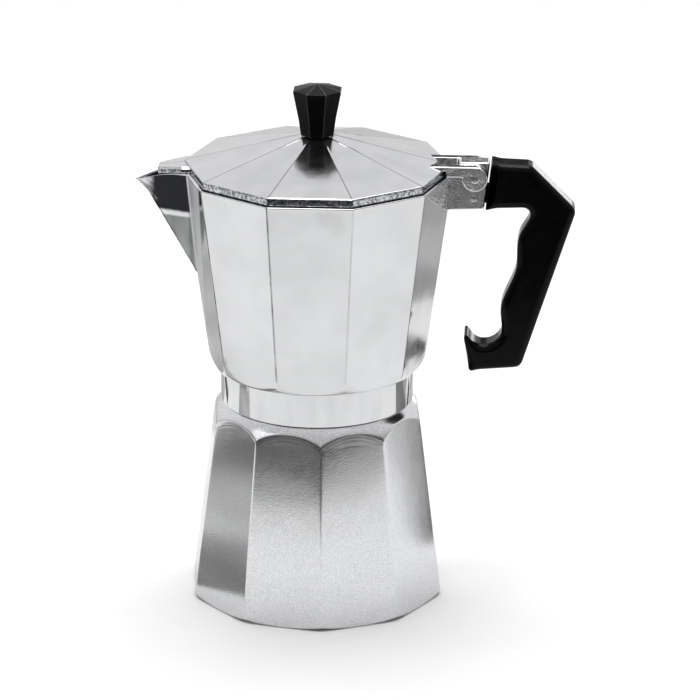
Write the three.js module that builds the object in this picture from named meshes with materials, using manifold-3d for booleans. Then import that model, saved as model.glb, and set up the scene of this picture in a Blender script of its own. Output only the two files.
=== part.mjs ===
// Stove-top moka pot with ten facets, in millimetres.
// +Z is up, and the origin is the centre of the boiler's foot. The lid's hinge and the handle lie
// towards +X and the spout towards -X. Angles about Z are counted from -Y towards +X.
import * as THREE from "three";
import { mergeVertices } from "three/addons/utils/BufferGeometryUtils.js";
import Module from "manifold-3d";

const wasm = await Module();
wasm.setup();
const rad = THREE.MathUtils.degToRad;

// ---------- Driving dimensions ----------

// Fits between pieces.
const GAP = 0.3; // left between two pieces that touch
const RUNNING = 0.4; // left between two pieces that turn or slide on each other
const ROOT = 0.5; // how far a solid reaches into the one that it is joined to
const PAST = 1; // how far a cutting solid reaches past the face that it cuts

// Facets and roundness.
const SIDES = 10;
const ROUND = 40; // segments of a large circle
const SMALL = 16; // segments of a small circle
const CORNER = 1 / Math.cos(Math.PI / SIDES); // a facet's corner radius over its middle radius

// Boiler, from the foot up.
const BOILER_TURN = rad(5.23); // first corner
const BOILER_R = 52; // corner radius just above the foot
const BOILER_TOP_R = 42.95; // corner radius where the shoulder starts
const FOOT_EDGE = 3; // height of the rounded foot edge
const FOOT_INSET = 4; // how far the foot edge draws in
const FACETS_TOP_Z = 74.1;
const SHOULDER_TOP_Z = 80.9;
const SHOULDER_INSET = 0.6; // from the collar's outside to the shoulder's top edge
const SHOULDER_BELLY = 0.5; // how far the shoulder bulges past a straight cone
const BOILER_WALL = 3;
const BOILER_FLOOR = 3.5;

// Neck and its screw thread.
const NECK_H = 9.6;
const NECK_BORE_R = 30.3;
const NECK_WALL = 3.1; // at the bottom of the thread
const PITCH = 3;
const THREAD_DEPTH = 1;
const THREAD_FOOT = 1; // half width of the ridge at its foot
const THREAD_CREST = 0.4; // half width of the ridge at its crest
const THREAD_SEGMENTS = 36; // in one turn
const THREAD_CLEAR = 0.5; // between the neck and the collar's bore
const RIDGE_START = 2.1; // the ridge's middle, above the shoulder
const RIDGE_TURNS = 1.8;

// Safety valve, on a facet behind the pot.
const VALVE_ANGLE = rad(203.23);
const VALVE_Z = 56;
const VALVE_R = 4.5; // shank
const VALVE_BORE_R = 2.9;
const VALVE_HEX_R = 6; // corner radius of the hexagon
const VALVE_HEX_T = 3;
const VALVE_WASHER_T = 1;
const VALVE_NUT_T = 2.4;
const VALVE_NUT_R = 7; // corner radius
const NUT_CLEAR = 0.9; // the round wall inside bulges towards a flat nut
const SHANK_PAST_NUT = 1.2;
const VALVE_CAP_T = 2;
const VALVE_SEAT_T = 1.4;
const VALVE_INLET_R = 1.2;
const STEM_R = 0.9;
const STEM_HEAD_T = 1.2;
const STEM_SEAL_T = 0.8;
const STEM_PROUD = 1.6; // how far the stem's end stands out of the cap
const STEM_EDGE = 0.3;
const SEAL_BITE = 0.3; // how far the seal's inner edge lies outside the inlet
const SPRING_WIRE_R = 0.3;
const SPRING_TURNS = 4;
const SPRING_SEGMENTS = 12; // in one turn
const WIRE_SIDES = 6;

// Funnel and its strainer.
const FLANGE_T = 1;
const FLANGE_OVERLAP = 2; // how far the flange reaches over the neck
const BASKET_DEPTH = 23;
const BASKET_CONE = 6; // height of the slope under the strainer
const BASKET_LEDGE = 1.6; // flat rim under the strainer
const SHEET = 0.8; // sheet thickness of the funnel
const TUBE_R = 5;
const TUBE_END_CLEARANCE = 3; // above the boiler's floor
const STRAINER_T = 0.6;
const STRAINER_RIM = 2.2; // unpierced border
const HOLE_R = 0.8;
const HOLE_SIDES = 6;
const HOLE_STEP = 5.6;

// Gasket and filter plate.
const GASKET_T = 3.5;
const GASKET_WIDTH = 7.6;
const GASKET_GRIP = 5; // how far the gasket reaches under the filter plate
const PLATE_T = 0.8;

// Collector, the upper vessel.
const COLLECTOR_TURN = rad(18); // corners on +X and -X
const COLLAR_WALL = 4.2; // outside the thread
const COLLAR_H = 13.8;
const COLLECTOR_FOOT_R = 43.9; // corner radius where the facets start
const COLLECTOR_RIM_R = 53.66; // corner radius at the rim
const COLLECTOR_FOOT_H = 8; // height of the rounded foot between collar and facets
const COLLECTOR_H = 72.3; // from where the facets start to the rim
const COLLECTOR_WALL = 2.2;
const COLLECTOR_FLOOR = 2.2;
const CHAMBER_H = 1.3; // space over the filter plate
const CHAMBER_RIM = 3; // flat border that holds the plate's edge down
const COLUMN_H = 58;
const COLUMN_FOOT_R = 9.5;
const COLUMN_TOP_R = 7;
const COLUMN_EDGE = 2;
const COLUMN_CROWN = 3; // thickness over the bore
const COLUMN_BORE_R = 4;
const OUTLET_W = 4;
const OUTLET_H = 6;

// Spout. Heights are counted down from the rim.
const SPOUT_REACH = 18.3; // from the rim's corner to the tip
const SPOUT_TIP_DROP = 3.8;
const SPOUT_DEPTH = 43.5; // where the keel leaves the body
const SPOUT_HALF_W = 8.6;
const SPOUT_WALL = 1.8;
const LIP_DROP = 9.2; // where the keel starts to flare
const LIP_REACH = 13.4;

// Hinge, between the collector's bracket and the lid's two arms.
const HINGE_REACH = 8.44; // from the rim's corner to the pin
const HINGE_DROP = 0.3; // below the rim
const PIN_R = 1.5;
const KNUCKLE_R = 5;
const BRACKET_HALF_W = 4;
const ARM_HALF_W = 8.75;
const BRACKET_NOSE_R = 8; // the bracket's inner edge is rounded about the pin
const BRACKET_ABOVE = 5.6; // above the pin
const BRACKET_BELOW = 13.5; // below the pin
const BRACKET_TOP_REACH = 5.8; // from the pin to the bracket's outer face, at its top
const BRACKET_LEAN = 2.1; // how far that face draws in towards its bottom
const POCKET_HALF_W = 2.1;
const POCKET_H = 8;
const POCKET_FLOOR = 1.8; // the bracket's thickness under the pocket
const POCKET_DEPTH = 11;
const TONGUE_ROOT = 4; // how far the tongue reaches into the grip
const RIVET_R = 1.4;
const RIVET_ABOVE = 2.6; // above the pocket's floor
const RIVET_INSET = 4.6; // from the bracket's outer face
const PIN_PROUD = 0.2; // the handle's pin past the bracket's faces
const PIN_SUNK = 0.2; // the hinge pin inside the arms' faces

// Lid.
const LID_INSET = 1.16; // from the collector's rim to the lid's edge, at a corner
const LID_RIM_H = 3.1;
const LID_RISE = 11.1; // from the rim's top edge to the middle
const LID_FLAT_R = 7;
const LID_T = 1.6;
const LID_RIM_T = 1.7;
const BEAK_REACH = 9;
const BEAK_ROOT_W = 8; // half width at the lid's edge
const BEAK_RIM_W = 6.8; // half width over the collector's rim
const BEAK_TIP_W = 4.2;
const BEAK_T = 1.4;
const BEAK_RIM_T = 2.2;
const BEAK_FALL = 1.3;

// Knob, its screw and washer.
const KNOB_SIDES = 8;
const KNOB_FOOT_R = 6.9;
const KNOB_WAIST_R = 7.8;
const KNOB_WAIST_H = 6.3;
const KNOB_RIM_R = 10.2;
const KNOB_H = 18;
const KNOB_CAP = 2.3;
const SCREW_R = 1.7;
const SCREW_LENGTH = 12;
const SCREW_HEAD_R = 3.4;
const SCREW_HEAD_T = 2;
const SCREW_HEAD_EDGE = 0.8;
const SCREW_END_GAP = 1;
const WASHER_R = 4.6;
const WASHER_T = 0.8;

// Handle. Its outline is given from the bracket's top outer corner.
const HANDLE_HALF_W = 6.5;
const HANDLE_EDGE = 0.5;
const HANDLE_END_GAP = 0.6;

// ---------- Places that follow from the dimensions ----------

const NECK_R = NECK_BORE_R + NECK_WALL;
const THREAD_R = NECK_R + THREAD_DEPTH;
const COLLAR_R = THREAD_R + COLLAR_WALL;
const SHOULDER_TOP_R = COLLAR_R - SHOULDER_INSET;
const NECK_TOP_Z = SHOULDER_TOP_Z + NECK_H;
const COLLAR_Z = SHOULDER_TOP_Z + GAP;
const COLLAR_TOP_Z = COLLAR_Z + COLLAR_H;
const FLANGE_Z = NECK_TOP_Z + GAP;
const FLANGE_R = NECK_BORE_R + FLANGE_OVERLAP;
const BASKET_R = NECK_BORE_R - RUNNING;
const BASKET_FLOOR_Z = FLANGE_Z + FLANGE_T - BASKET_DEPTH;
const STRAINER_Z = BASKET_FLOOR_Z + GAP;
const GASKET_Z = FLANGE_Z + FLANGE_T + GAP;
const GASKET_R = FLANGE_R + GAP;
const GASKET_BORE_R = GASKET_R - GASKET_WIDTH;
const PLATE_Z = GASKET_Z + GASKET_T + GAP;
const PLATE_R = GASKET_BORE_R + GASKET_GRIP;
const CHAMBER_Z = PLATE_Z + PLATE_T + GAP;
const FLOOR_Z = CHAMBER_Z + CHAMBER_H + COLLECTOR_FLOOR;
const FACETS_FOOT_Z = COLLAR_TOP_Z + COLLECTOR_FOOT_H;
const RIM_Z = FACETS_FOOT_Z + COLLECTOR_H;
const HINGE_X = COLLECTOR_RIM_R + HINGE_REACH;
const HINGE_Z = RIM_Z - HINGE_DROP;
const LID_R = COLLECTOR_RIM_R - LID_INSET;
const LID_Z = RIM_Z + GAP;
const LID_EDGE_Z = LID_Z + LID_RIM_H;
const LID_TOP_Z = LID_EDGE_Z + LID_RISE;
const BRACKET_TOP_Z = HINGE_Z + BRACKET_ABOVE;
const BRACKET_FOOT_Z = HINGE_Z - BRACKET_BELOW;
const BRACKET_TOP_X = HINGE_X + BRACKET_TOP_REACH;
const BRACKET_FOOT_X = BRACKET_TOP_X - BRACKET_LEAN;
const POCKET_Z = BRACKET_FOOT_Z + POCKET_FLOOR;
const RIVET_X = BRACKET_FOOT_X - RIVET_INSET + BRACKET_LEAN / 4;
const RIVET_Z = POCKET_Z + RIVET_ABOVE;
const VALVE_TILT = Math.atan2((BOILER_R - BOILER_TOP_R) / CORNER, FACETS_TOP_Z - FOOT_EDGE);

// ---------- Finishes ----------

function finish(color, roughness, metalness) {
  return new THREE.MeshStandardMaterial({ color, roughness, metalness });
}
const castAluminium = finish(0xc9cbcd, 0.4, 1);
const polishedAluminium = finish(0xdcdee0, 0.15, 1);
const sheetAluminium = finish(0xd2d4d6, 0.3, 1);
const brass = finish(0xb5924c, 0.3, 1);
const steel = finish(0xb9bcc0, 0.3, 1);
const blackPlastic = finish(0x111112, 0.35, 0);
const rubber = finish(0xe8e4da, 0.7, 0);

// ---------- Solids ----------

// A closed three.js geometry as a solid, whichever way round its outline was drawn.
function solid(geometry) {
  const bare = geometry.index ? geometry.toNonIndexed() : geometry.clone();
  for (const name of Object.keys(bare.attributes)) {
    if (name !== "position") bare.deleteAttribute(name);
  }
  const merged = mergeVertices(bare, 1e-4);
  const vertProperties = new Float32Array(merged.attributes.position.array);
  const corners = Array.from(merged.index.array);
  const triVerts = new Uint32Array(corners);
  const made = new wasm.Manifold(new wasm.Mesh({ numProp: 3, vertProperties, triVerts }));
  if (made.volume() > 0) return made;
  triVerts.reverse();
  return new wasm.Manifold(new wasm.Mesh({ numProp: 3, vertProperties, triVerts }));
}

// A named mesh of a solid.
function piece(name, shape, material) {
  const { vertProperties, triVerts } = shape.getMesh();
  const geometry = new THREE.BufferGeometry();
  geometry.setAttribute("position", new THREE.BufferAttribute(vertProperties, 3));
  geometry.setIndex(new THREE.BufferAttribute(triVerts, 1));
  const mesh = new THREE.Mesh(geometry.toNonIndexed(), material);
  mesh.geometry.computeVertexNormals();
  mesh.name = name;
  return mesh;
}

// A profile of [radius, height] points turned about Z. With few segments it is a faceted body.
function turned(profile, segments = ROUND, turn = 0) {
  const points = profile.map(([r, z]) => new THREE.Vector2(r, z));
  const geometry = new THREE.LatheGeometry(points, segments);
  return solid(geometry.rotateX(Math.PI / 2).rotateZ(turn));
}

// A turned ring of rectangular section.
function ring(inner, outer, low, high, segments = ROUND) {
  const profile = [[inner, low], [outer, low], [outer, high], [inner, high], [inner, low]];
  return turned(profile, segments);
}

// A full cylinder or prism about Z between two heights.
function rod(radius, low, high, segments = SMALL) {
  return turned([[0, low], [radius, low], [radius, high], [0, high]], segments);
}

// A round bar along Y through [x, z].
function crossBar(radius, halfLength, x, z, segments = SMALL) {
  const bar = new THREE.CylinderGeometry(radius, radius, 2 * halfLength, segments);
  return solid(bar.translate(x, 0, z));
}

// A block between two corners.
function block([x0, y0, z0], [x1, y1, z1]) {
  const box = new THREE.BoxGeometry(x1 - x0, y1 - y0, z1 - z0);
  return solid(box.translate((x0 + x1) / 2, (y0 + y1) / 2, (z0 + z1) / 2));
}

// An outline in the XZ plane, given a thickness of halfWidth to each side along Y.
function plate(outline, halfWidth, edge = 0) {
  const geometry = new THREE.ExtrudeGeometry(outline, {
    depth: 2 * (halfWidth - edge),
    curveSegments: 6,
    bevelEnabled: edge > 0,
    bevelThickness: edge,
    bevelSize: edge,
    bevelOffset: -edge,
    bevelSegments: 1,
  });
  return solid(geometry.translate(0, 0, edge - halfWidth).rotateX(Math.PI / 2));
}

// A skin over cross-sections that have as many corners each, closed by a flat end at both ends.
function skin(sections) {
  const count = sections[0].length;
  const at = (i, j) => sections[i][j % count];
  const corners = [];
  for (let i = 0; i + 1 < sections.length; i++) {
    for (let j = 0; j < count; j++) {
      corners.push(at(i, j), at(i, j + 1), at(i + 1, j + 1));
      corners.push(at(i, j), at(i + 1, j + 1), at(i + 1, j));
    }
  }
  const last = sections.length - 1;
  for (let j = 1; j + 1 < count; j++) {
    corners.push(at(0, 0), at(0, j + 1), at(0, j));
    corners.push(at(last, 0), at(last, j), at(last, j + 1));
  }
  const geometry = new THREE.BufferGeometry();
  geometry.setAttribute("position", new THREE.Float32BufferAttribute(corners.flat(), 3));
  return solid(geometry);
}

// A helical ridge that climbs one pitch a turn. Its section tapers from the foot to the crest.
function helix(footR, crestR, footHalf, crestHalf, startZ, turns) {
  const steps = Math.round(turns * THREAD_SEGMENTS);
  const sections = [];
  for (let i = 0; i <= steps; i++) {
    const angle = (2 * Math.PI * i) / THREAD_SEGMENTS;
    const middle = startZ + (PITCH * i) / THREAD_SEGMENTS;
    const at = (r, rise) => [r * Math.sin(angle), -r * Math.cos(angle), middle + rise];
    const foot = [at(footR, footHalf), at(footR, -footHalf)];
    const crest = [at(crestR, -crestHalf), at(crestR, crestHalf)];
    sections.push([foot[1], ...crest, foot[0]]);
  }
  return skin(sections);
}

// ---------- Boiler ----------

// Corner radius of the boiler's facets at a height.
function boilerCorner(z) {
  const share = (z - FOOT_EDGE) / (FACETS_TOP_Z - FOOT_EDGE);
  return BOILER_R + (BOILER_TOP_R - BOILER_R) * share;
}

// The turned outline that cuts the facets off: a rounded foot edge and a rounded shoulder.
function boilerEnvelope() {
  const profile = [[0, 0]];
  const STEPS = 4;
  for (let i = 0; i <= STEPS; i++) {
    const a = (Math.PI / 2) * (i / STEPS);
    profile.push([BOILER_R - FOOT_INSET * (1 - Math.sin(a)), FOOT_EDGE * (1 - Math.cos(a))]);
  }
  for (let i = 0; i <= STEPS; i++) {
    const t = i / STEPS;
    const bulge = SHOULDER_BELLY * Math.sin(Math.PI * t);
    const r = BOILER_TOP_R + (SHOULDER_TOP_R - BOILER_TOP_R) * t + bulge;
    profile.push([r, FACETS_TOP_Z + (SHOULDER_TOP_Z - FACETS_TOP_Z) * t]);
  }
  profile.push([NECK_R, SHOULDER_TOP_Z], [NECK_R, NECK_TOP_Z], [0, NECK_TOP_Z]);
  return turned(profile);
}

function boilerInside() {
  const inner = (z) => boilerCorner(z) / CORNER - BOILER_WALL;
  const foot = BOILER_FLOOR + BOILER_WALL;
  const shoulder = FACETS_TOP_Z - BOILER_WALL / 2;
  return turned([
    [0, BOILER_FLOOR],
    [inner(foot) - BOILER_WALL, BOILER_FLOOR],
    [inner(foot), foot],
    [inner(shoulder), shoulder],
    [SHOULDER_TOP_R - BOILER_WALL - 1, SHOULDER_TOP_Z - BOILER_WALL],
    [NECK_BORE_R, SHOULDER_TOP_Z],
    [NECK_BORE_R, NECK_TOP_Z + PAST],
    [0, NECK_TOP_Z + PAST],
  ]);
}

// A faceted cone between two heights, given its corner radius at each height.
function facetedCone(corner, low, high, turn) {
  return turned([[0, low], [corner(low), low], [corner(high), high], [0, high]], SIDES, turn);
}

function boiler() {
  const cone = facetedCone(boilerCorner, -PAST, NECK_TOP_Z + PAST, BOILER_TURN);
  const neck = rod(NECK_R, FACETS_TOP_Z, NECK_TOP_Z, ROUND);
  const ridgeZ = SHOULDER_TOP_Z + RIDGE_START;
  const footHalf = THREAD_FOOT + (ROOT * (THREAD_FOOT - THREAD_CREST)) / THREAD_DEPTH;
  const ridge = helix(NECK_R - ROOT, THREAD_R, footHalf, THREAD_CREST, ridgeZ, RIDGE_TURNS);
  const shell = cone.intersect(boilerEnvelope()).add(neck).subtract(boilerInside()).add(ridge);
  const through = rod(VALVE_R + GAP, -3 * BOILER_WALL, 3 * BOILER_WALL);
  return shell.subtract(onValve(through));
}

// ---------- Safety valve ----------

// Places a shape made along +Z, with the facet's face at z = 0, on the valve's place.
function onValve(shape) {
  const facet = boilerCorner(VALVE_Z) / CORNER;
  const out = new THREE.Vector3(Math.sin(VALVE_ANGLE), -Math.cos(VALVE_ANGLE), 0);
  const axis = out.clone().multiplyScalar(Math.cos(VALVE_TILT)).setZ(Math.sin(VALVE_TILT));
  const place = new THREE.Matrix4().makeRotationFromQuaternion(
    new THREE.Quaternion().setFromUnitVectors(new THREE.Vector3(0, 0, 1), axis),
  );
  place.setPosition(out.multiplyScalar(facet).setZ(VALVE_Z));
  const { vertProperties, triVerts } = shape.getMesh();
  const geometry = new THREE.BufferGeometry();
  geometry.setAttribute("position", new THREE.BufferAttribute(vertProperties, 3));
  geometry.setIndex(new THREE.BufferAttribute(triVerts, 1));
  return solid(geometry.applyMatrix4(place));
}

// Along the valve's axis, from inside the boiler to outside.
const NUT_TOP = -BOILER_WALL - GAP - NUT_CLEAR;
const NUT_FOOT = NUT_TOP - VALVE_NUT_T;
const SHANK_END = NUT_FOOT - SHANK_PAST_NUT;
const SEAT_Z = SHANK_END + VALVE_SEAT_T;
const HEX_FOOT = VALVE_WASHER_T + 2 * GAP;
const HEX_TOP = HEX_FOOT + VALVE_HEX_T;
const CAP_FOOT = HEX_TOP - VALVE_CAP_T;
const SEAL_Z = SEAT_Z + GAP;
const HEAD_Z = SEAL_Z + STEM_SEAL_T + GAP;
const HEAD_TOP = HEAD_Z + STEM_HEAD_T;

function valvePieces() {
  const hexagon = rod(VALVE_HEX_R, HEX_FOOT, HEX_TOP, 6);
  const shank = rod(VALVE_R, SHANK_END, HEX_TOP);
  const bore = rod(VALVE_BORE_R, SEAT_Z, HEX_TOP + PAST);
  const inlet = rod(VALVE_INLET_R, SHANK_END - PAST, SEAT_Z + PAST);
  const body = hexagon.add(shank).subtract(bore).subtract(inlet);
  const washer = ring(VALVE_R + GAP, VALVE_HEX_R - GAP, GAP, GAP + VALVE_WASHER_T, SMALL);
  const nutBlank = rod(VALVE_NUT_R, NUT_FOOT, NUT_TOP, 6);
  const nut = nutBlank.subtract(rod(VALVE_R + GAP, NUT_FOOT - PAST, NUT_TOP + PAST));
  const cap = ring(STEM_R + RUNNING, VALVE_BORE_R - GAP, CAP_FOOT, HEX_TOP, SMALL);
  const headR = VALVE_BORE_R - RUNNING;
  const seal = ring(VALVE_INLET_R + SEAL_BITE, headR, SEAL_Z, SEAL_Z + STEM_SEAL_T, SMALL);
  const stemEnd = HEX_TOP + STEM_PROUD;
  const stemProfile = [
    [0, HEAD_Z],
    [headR, HEAD_Z],
    [headR, HEAD_TOP],
    [STEM_R, HEAD_TOP],
    [STEM_R, stemEnd - STEM_EDGE],
    [STEM_R - STEM_EDGE, stemEnd],
    [0, stemEnd],
  ];
  return [
    piece("valve_body", onValve(body), brass),
    piece("valve_washer", onValve(washer), rubber),
    piece("valve_nut", onValve(nut), brass),
    piece("valve_cap", onValve(cap), brass),
    piece("valve_seal", onValve(seal), rubber),
    piece("valve_stem", onValve(turned(stemProfile, SMALL)), brass),
    piece("valve_spring", onValve(valveSpring()), steel),
  ];
}

// A coil spring between the stem's head and the cap.
function valveSpring() {
  const low = HEAD_TOP + SPRING_WIRE_R + GAP;
  const high = CAP_FOOT - SPRING_WIRE_R - GAP;
  const coilR = (STEM_R + VALVE_BORE_R) / 2;
  const steps = SPRING_TURNS * SPRING_SEGMENTS;
  const sections = [];
  for (let i = 0; i <= steps; i++) {
    const angle = (2 * Math.PI * i) / SPRING_SEGMENTS;
    const z = low + ((high - low) * i) / steps;
    const section = [];
    for (let j = 0; j < WIRE_SIDES; j++) {
      const b = (2 * Math.PI * j) / WIRE_SIDES;
      const r = coilR + SPRING_WIRE_R * Math.cos(b);
      section.push([r * Math.cos(angle), r * Math.sin(angle), z + SPRING_WIRE_R * Math.sin(b)]);
    }
    sections.push(section);
  }
  return skin(sections);
}

// ---------- Funnel, strainer, gasket and filter plate ----------

function funnel() {
  const tubeEnd = BOILER_FLOOR + TUBE_END_CLEARANCE;
  const coneEnd = BASKET_FLOOR_Z - BASKET_CONE;
  return turned([
    [BASKET_R - SHEET, FLANGE_Z + FLANGE_T],
    [BASKET_R - SHEET, BASKET_FLOOR_Z],
    [BASKET_R - SHEET - BASKET_LEDGE, BASKET_FLOOR_Z],
    [TUBE_R - SHEET, coneEnd],
    [TUBE_R - SHEET, tubeEnd],
    [TUBE_R, tubeEnd],
    [TUBE_R, coneEnd - SHEET / 2],
    [BASKET_R - BASKET_LEDGE, BASKET_FLOOR_Z - SHEET],
    [BASKET_R, BASKET_FLOOR_Z - SHEET / 2],
    [BASKET_R, FLANGE_Z],
    [FLANGE_R, FLANGE_Z],
    [FLANGE_R, FLANGE_Z + FLANGE_T],
    [BASKET_R - SHEET, FLANGE_Z + FLANGE_T],
  ]);
}

// The corners of a regular polygon round (x, y).
function polygon(x, y, radius, sides) {
  const corner = (_, i) => {
    const a = (2 * Math.PI * i) / sides;
    return new THREE.Vector2(x + radius * Math.cos(a), y + radius * Math.sin(a));
  };
  return Array.from({ length: sides }, corner);
}

// A round sheet pierced in rings of evenly spaced holes.
function pierced(radius, z, thickness) {
  const outline = new THREE.Shape(polygon(0, 0, radius, ROUND));
  for (let r = HOLE_STEP; r < radius - STRAINER_RIM; r += HOLE_STEP) {
    const count = Math.floor((2 * Math.PI * r) / HOLE_STEP);
    for (let i = 0; i < count; i++) {
      const a = (2 * Math.PI * i) / count;
      outline.holes.push(new THREE.Path(polygon(r * Math.cos(a), r * Math.sin(a), HOLE_R, HOLE_SIDES)));
    }
  }
  const sheet = new THREE.ExtrudeGeometry(outline, { depth: thickness, bevelEnabled: false });
  return solid(sheet.translate(0, 0, z));
}

// ---------- Collector ----------

// Corner radius of the collector's facets at a height.
function collectorCorner(z) {
  return COLLECTOR_FOOT_R + ((COLLECTOR_RIM_R - COLLECTOR_FOOT_R) * (z - FACETS_FOOT_Z)) / COLLECTOR_H;
}

// The turned outline of collar and rounded foot, which cuts the facets off below.
function collectorEnvelope() {
  const profile = [[0, COLLAR_Z], [COLLAR_R, COLLAR_Z], [COLLAR_R, COLLAR_TOP_Z]];
  const STEPS = 4;
  for (let i = 1; i <= STEPS; i++) {
    const a = (Math.PI / 2) * (i / STEPS);
    const r = COLLAR_R + (COLLECTOR_FOOT_R - COLLAR_R) * Math.sin(a);
    profile.push([r, COLLAR_TOP_Z + COLLECTOR_FOOT_H * (1 - Math.cos(a))]);
  }
  profile.push([COLLECTOR_RIM_R + 1, RIM_Z], [0, RIM_Z]);
  return turned(profile);
}

// A faceted body between two heights, as far in from the collector's outside as inset.
function collectorCone(low, high, inset) {
  const corner = (z) => collectorCorner(z) - inset * CORNER;
  return facetedCone(corner, low, high, COLLECTOR_TURN);
}

// The recesses under the floor: thread bore, gasket seat, filter plate seat and chamber.
function collectorUnderside() {
  const boreR = NECK_R + THREAD_CLEAR;
  const boreTop = NECK_TOP_Z + THREAD_CLEAR;
  const seatR = GASKET_R + GAP;
  return turned([
    [0, COLLAR_Z - PAST],
    [boreR, COLLAR_Z - PAST],
    [boreR, boreTop],
    [seatR, boreTop],
    [seatR, PLATE_Z],
    [PLATE_R + GAP, PLATE_Z],
    [PLATE_R + GAP, CHAMBER_Z],
    [PLATE_R - CHAMBER_RIM, CHAMBER_Z],
    [PLATE_R - CHAMBER_RIM - 2, CHAMBER_Z + CHAMBER_H],
    [0, CHAMBER_Z + CHAMBER_H],
  ]);
}

// The groove that the neck's ridge runs in. It starts below the collar and ends over the ridge.
function threadGroove() {
  const below = 2; // turns below the ridge's start
  const above = 0.25; // turns past the ridge's end
  const start = SHOULDER_TOP_Z + RIDGE_START - below * PITCH;
  const turns = below + RIDGE_TURNS + above;
  const side = RUNNING * 0.75;
  return helix(NECK_R, THREAD_R + RUNNING, THREAD_FOOT + side, THREAD_CREST + side, start, turns);
}

// The column that the coffee rises through, closed at its top, with an outlet to each side.
function column() {
  const top = FLOOR_Z + COLUMN_H;
  const foot = FLOOR_Z - COLLECTOR_FLOOR / 2;
  return turned([
    [0, foot],
    [COLUMN_FOOT_R, foot],
    [COLUMN_FOOT_R, FLOOR_Z],
    [COLUMN_TOP_R, top - COLUMN_EDGE],
    [COLUMN_TOP_R - COLUMN_EDGE, top],
    [0, top],
  ], SMALL);
}

function columnBore() {
  const top = FLOOR_Z + COLUMN_H - COLUMN_CROWN;
  const low = CHAMBER_Z + CHAMBER_H - PAST;
  const bore = turned([[0, low], [COLUMN_BORE_R + 1, low], [COLUMN_BORE_R, top], [0, top]], SMALL);
  const half = OUTLET_W / 2;
  const outlet = block([-half, -COLUMN_FOOT_R, top - OUTLET_H], [half, COLUMN_FOOT_R, top]);
  return bore.add(outlet);
}

// The spout's wedge, or the hollow in it. Each level is a triangle with two corners on the facets
// beside the body's corner and one on the keel, which flares below the lip.
function spoutWedge(wall) {
  const hollow = wall > 0;
  const keelWall = 2 * wall; // the flanks meet at a sharp angle there
  const drops = [SPOUT_DEPTH, LIP_DROP, SPOUT_TIP_DROP];
  const reaches = [collectorCorner(RIM_Z - SPOUT_DEPTH) - COLLECTOR_RIM_R, LIP_REACH, SPOUT_REACH];
  const sections = drops.map((drop, i) => {
    const z = RIM_Z - drop;
    const corner = collectorCorner(z);
    const halfW = SPOUT_HALF_W * (1 - (drop - SPOUT_TIP_DROP) / (SPOUT_DEPTH - SPOUT_TIP_DROP));
    const openW = Math.max(halfW - wall, 0.2);
    const keel = -COLLECTOR_RIM_R - reaches[i] + keelWall;
    const creaseX = -corner + halfW * Math.tan(Math.PI / SIDES);
    const rootX = creaseX + (hollow ? 2 * COLLECTOR_WALL : COLLECTOR_WALL / 2);
    const rise = i === drops.length - 1 ? SPOUT_TIP_DROP : 0;
    return [[keel, 0, z], [rootX, openW, z + rise], [rootX, -openW, z + rise]];
  });
  if (hollow) sections.push(sections.at(-1).map(([x, y, z]) => [x, y, z + SPOUT_TIP_DROP]));
  return skin(sections);
}

// The bracket's outline: its inner edge is rounded about the hinge pin.
function bracketOutline() {
  const start = Math.asin(BRACKET_ABOVE / BRACKET_NOSE_R);
  const inside = COLLECTOR_RIM_R - COLLECTOR_WALL;
  const outline = new THREE.Shape();
  outline.moveTo(BRACKET_TOP_X, BRACKET_TOP_Z);
  outline.lineTo(HINGE_X - BRACKET_NOSE_R * Math.cos(start), BRACKET_TOP_Z);
  outline.absarc(HINGE_X, HINGE_Z, BRACKET_NOSE_R, Math.PI - start, Math.PI, false);
  outline.lineTo(inside, HINGE_Z);
  outline.lineTo(collectorCorner(BRACKET_FOOT_Z) - COLLECTOR_WALL / 2, BRACKET_FOOT_Z);
  outline.lineTo(BRACKET_FOOT_X, BRACKET_FOOT_Z);
  return outline;
}

// The pocket that takes the handle's tongue, larger than the tongue by fit all round.
function tongue(fit) {
  const halfW = POCKET_HALF_W - GAP + fit;
  const z = POCKET_Z + GAP - fit;
  const start = BRACKET_FOOT_X - POCKET_DEPTH + GAP - fit;
  const high = POCKET_Z + POCKET_H - GAP + fit;
  return block([start, -halfW, z], [BRACKET_TOP_X + TONGUE_ROOT, halfW, high]);
}

function collector() {
  const outside = collectorCone(COLLAR_Z, RIM_Z, 0).intersect(collectorEnvelope());
  const collar = rod(COLLAR_R, COLLAR_Z, COLLAR_TOP_Z, ROUND);
  const bracket = plate(bracketOutline(), BRACKET_HALF_W);
  const hollow = collectorCone(FLOOR_Z, RIM_Z + PAST, COLLECTOR_WALL);
  return outside
    .add(collar)
    .add(spoutWedge(0))
    .add(bracket)
    .subtract(hollow)
    .subtract(spoutWedge(SPOUT_WALL))
    .add(column())
    .subtract(columnBore())
    .subtract(collectorUnderside())
    .subtract(threadGroove())
    .subtract(tongue(GAP))
    .subtract(crossBar(PIN_R + GAP, ARM_HALF_W, HINGE_X, HINGE_Z))
    .subtract(crossBar(RIVET_R + GAP, ARM_HALF_W, RIVET_X, RIVET_Z));
}

// ---------- Handle ----------

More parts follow.
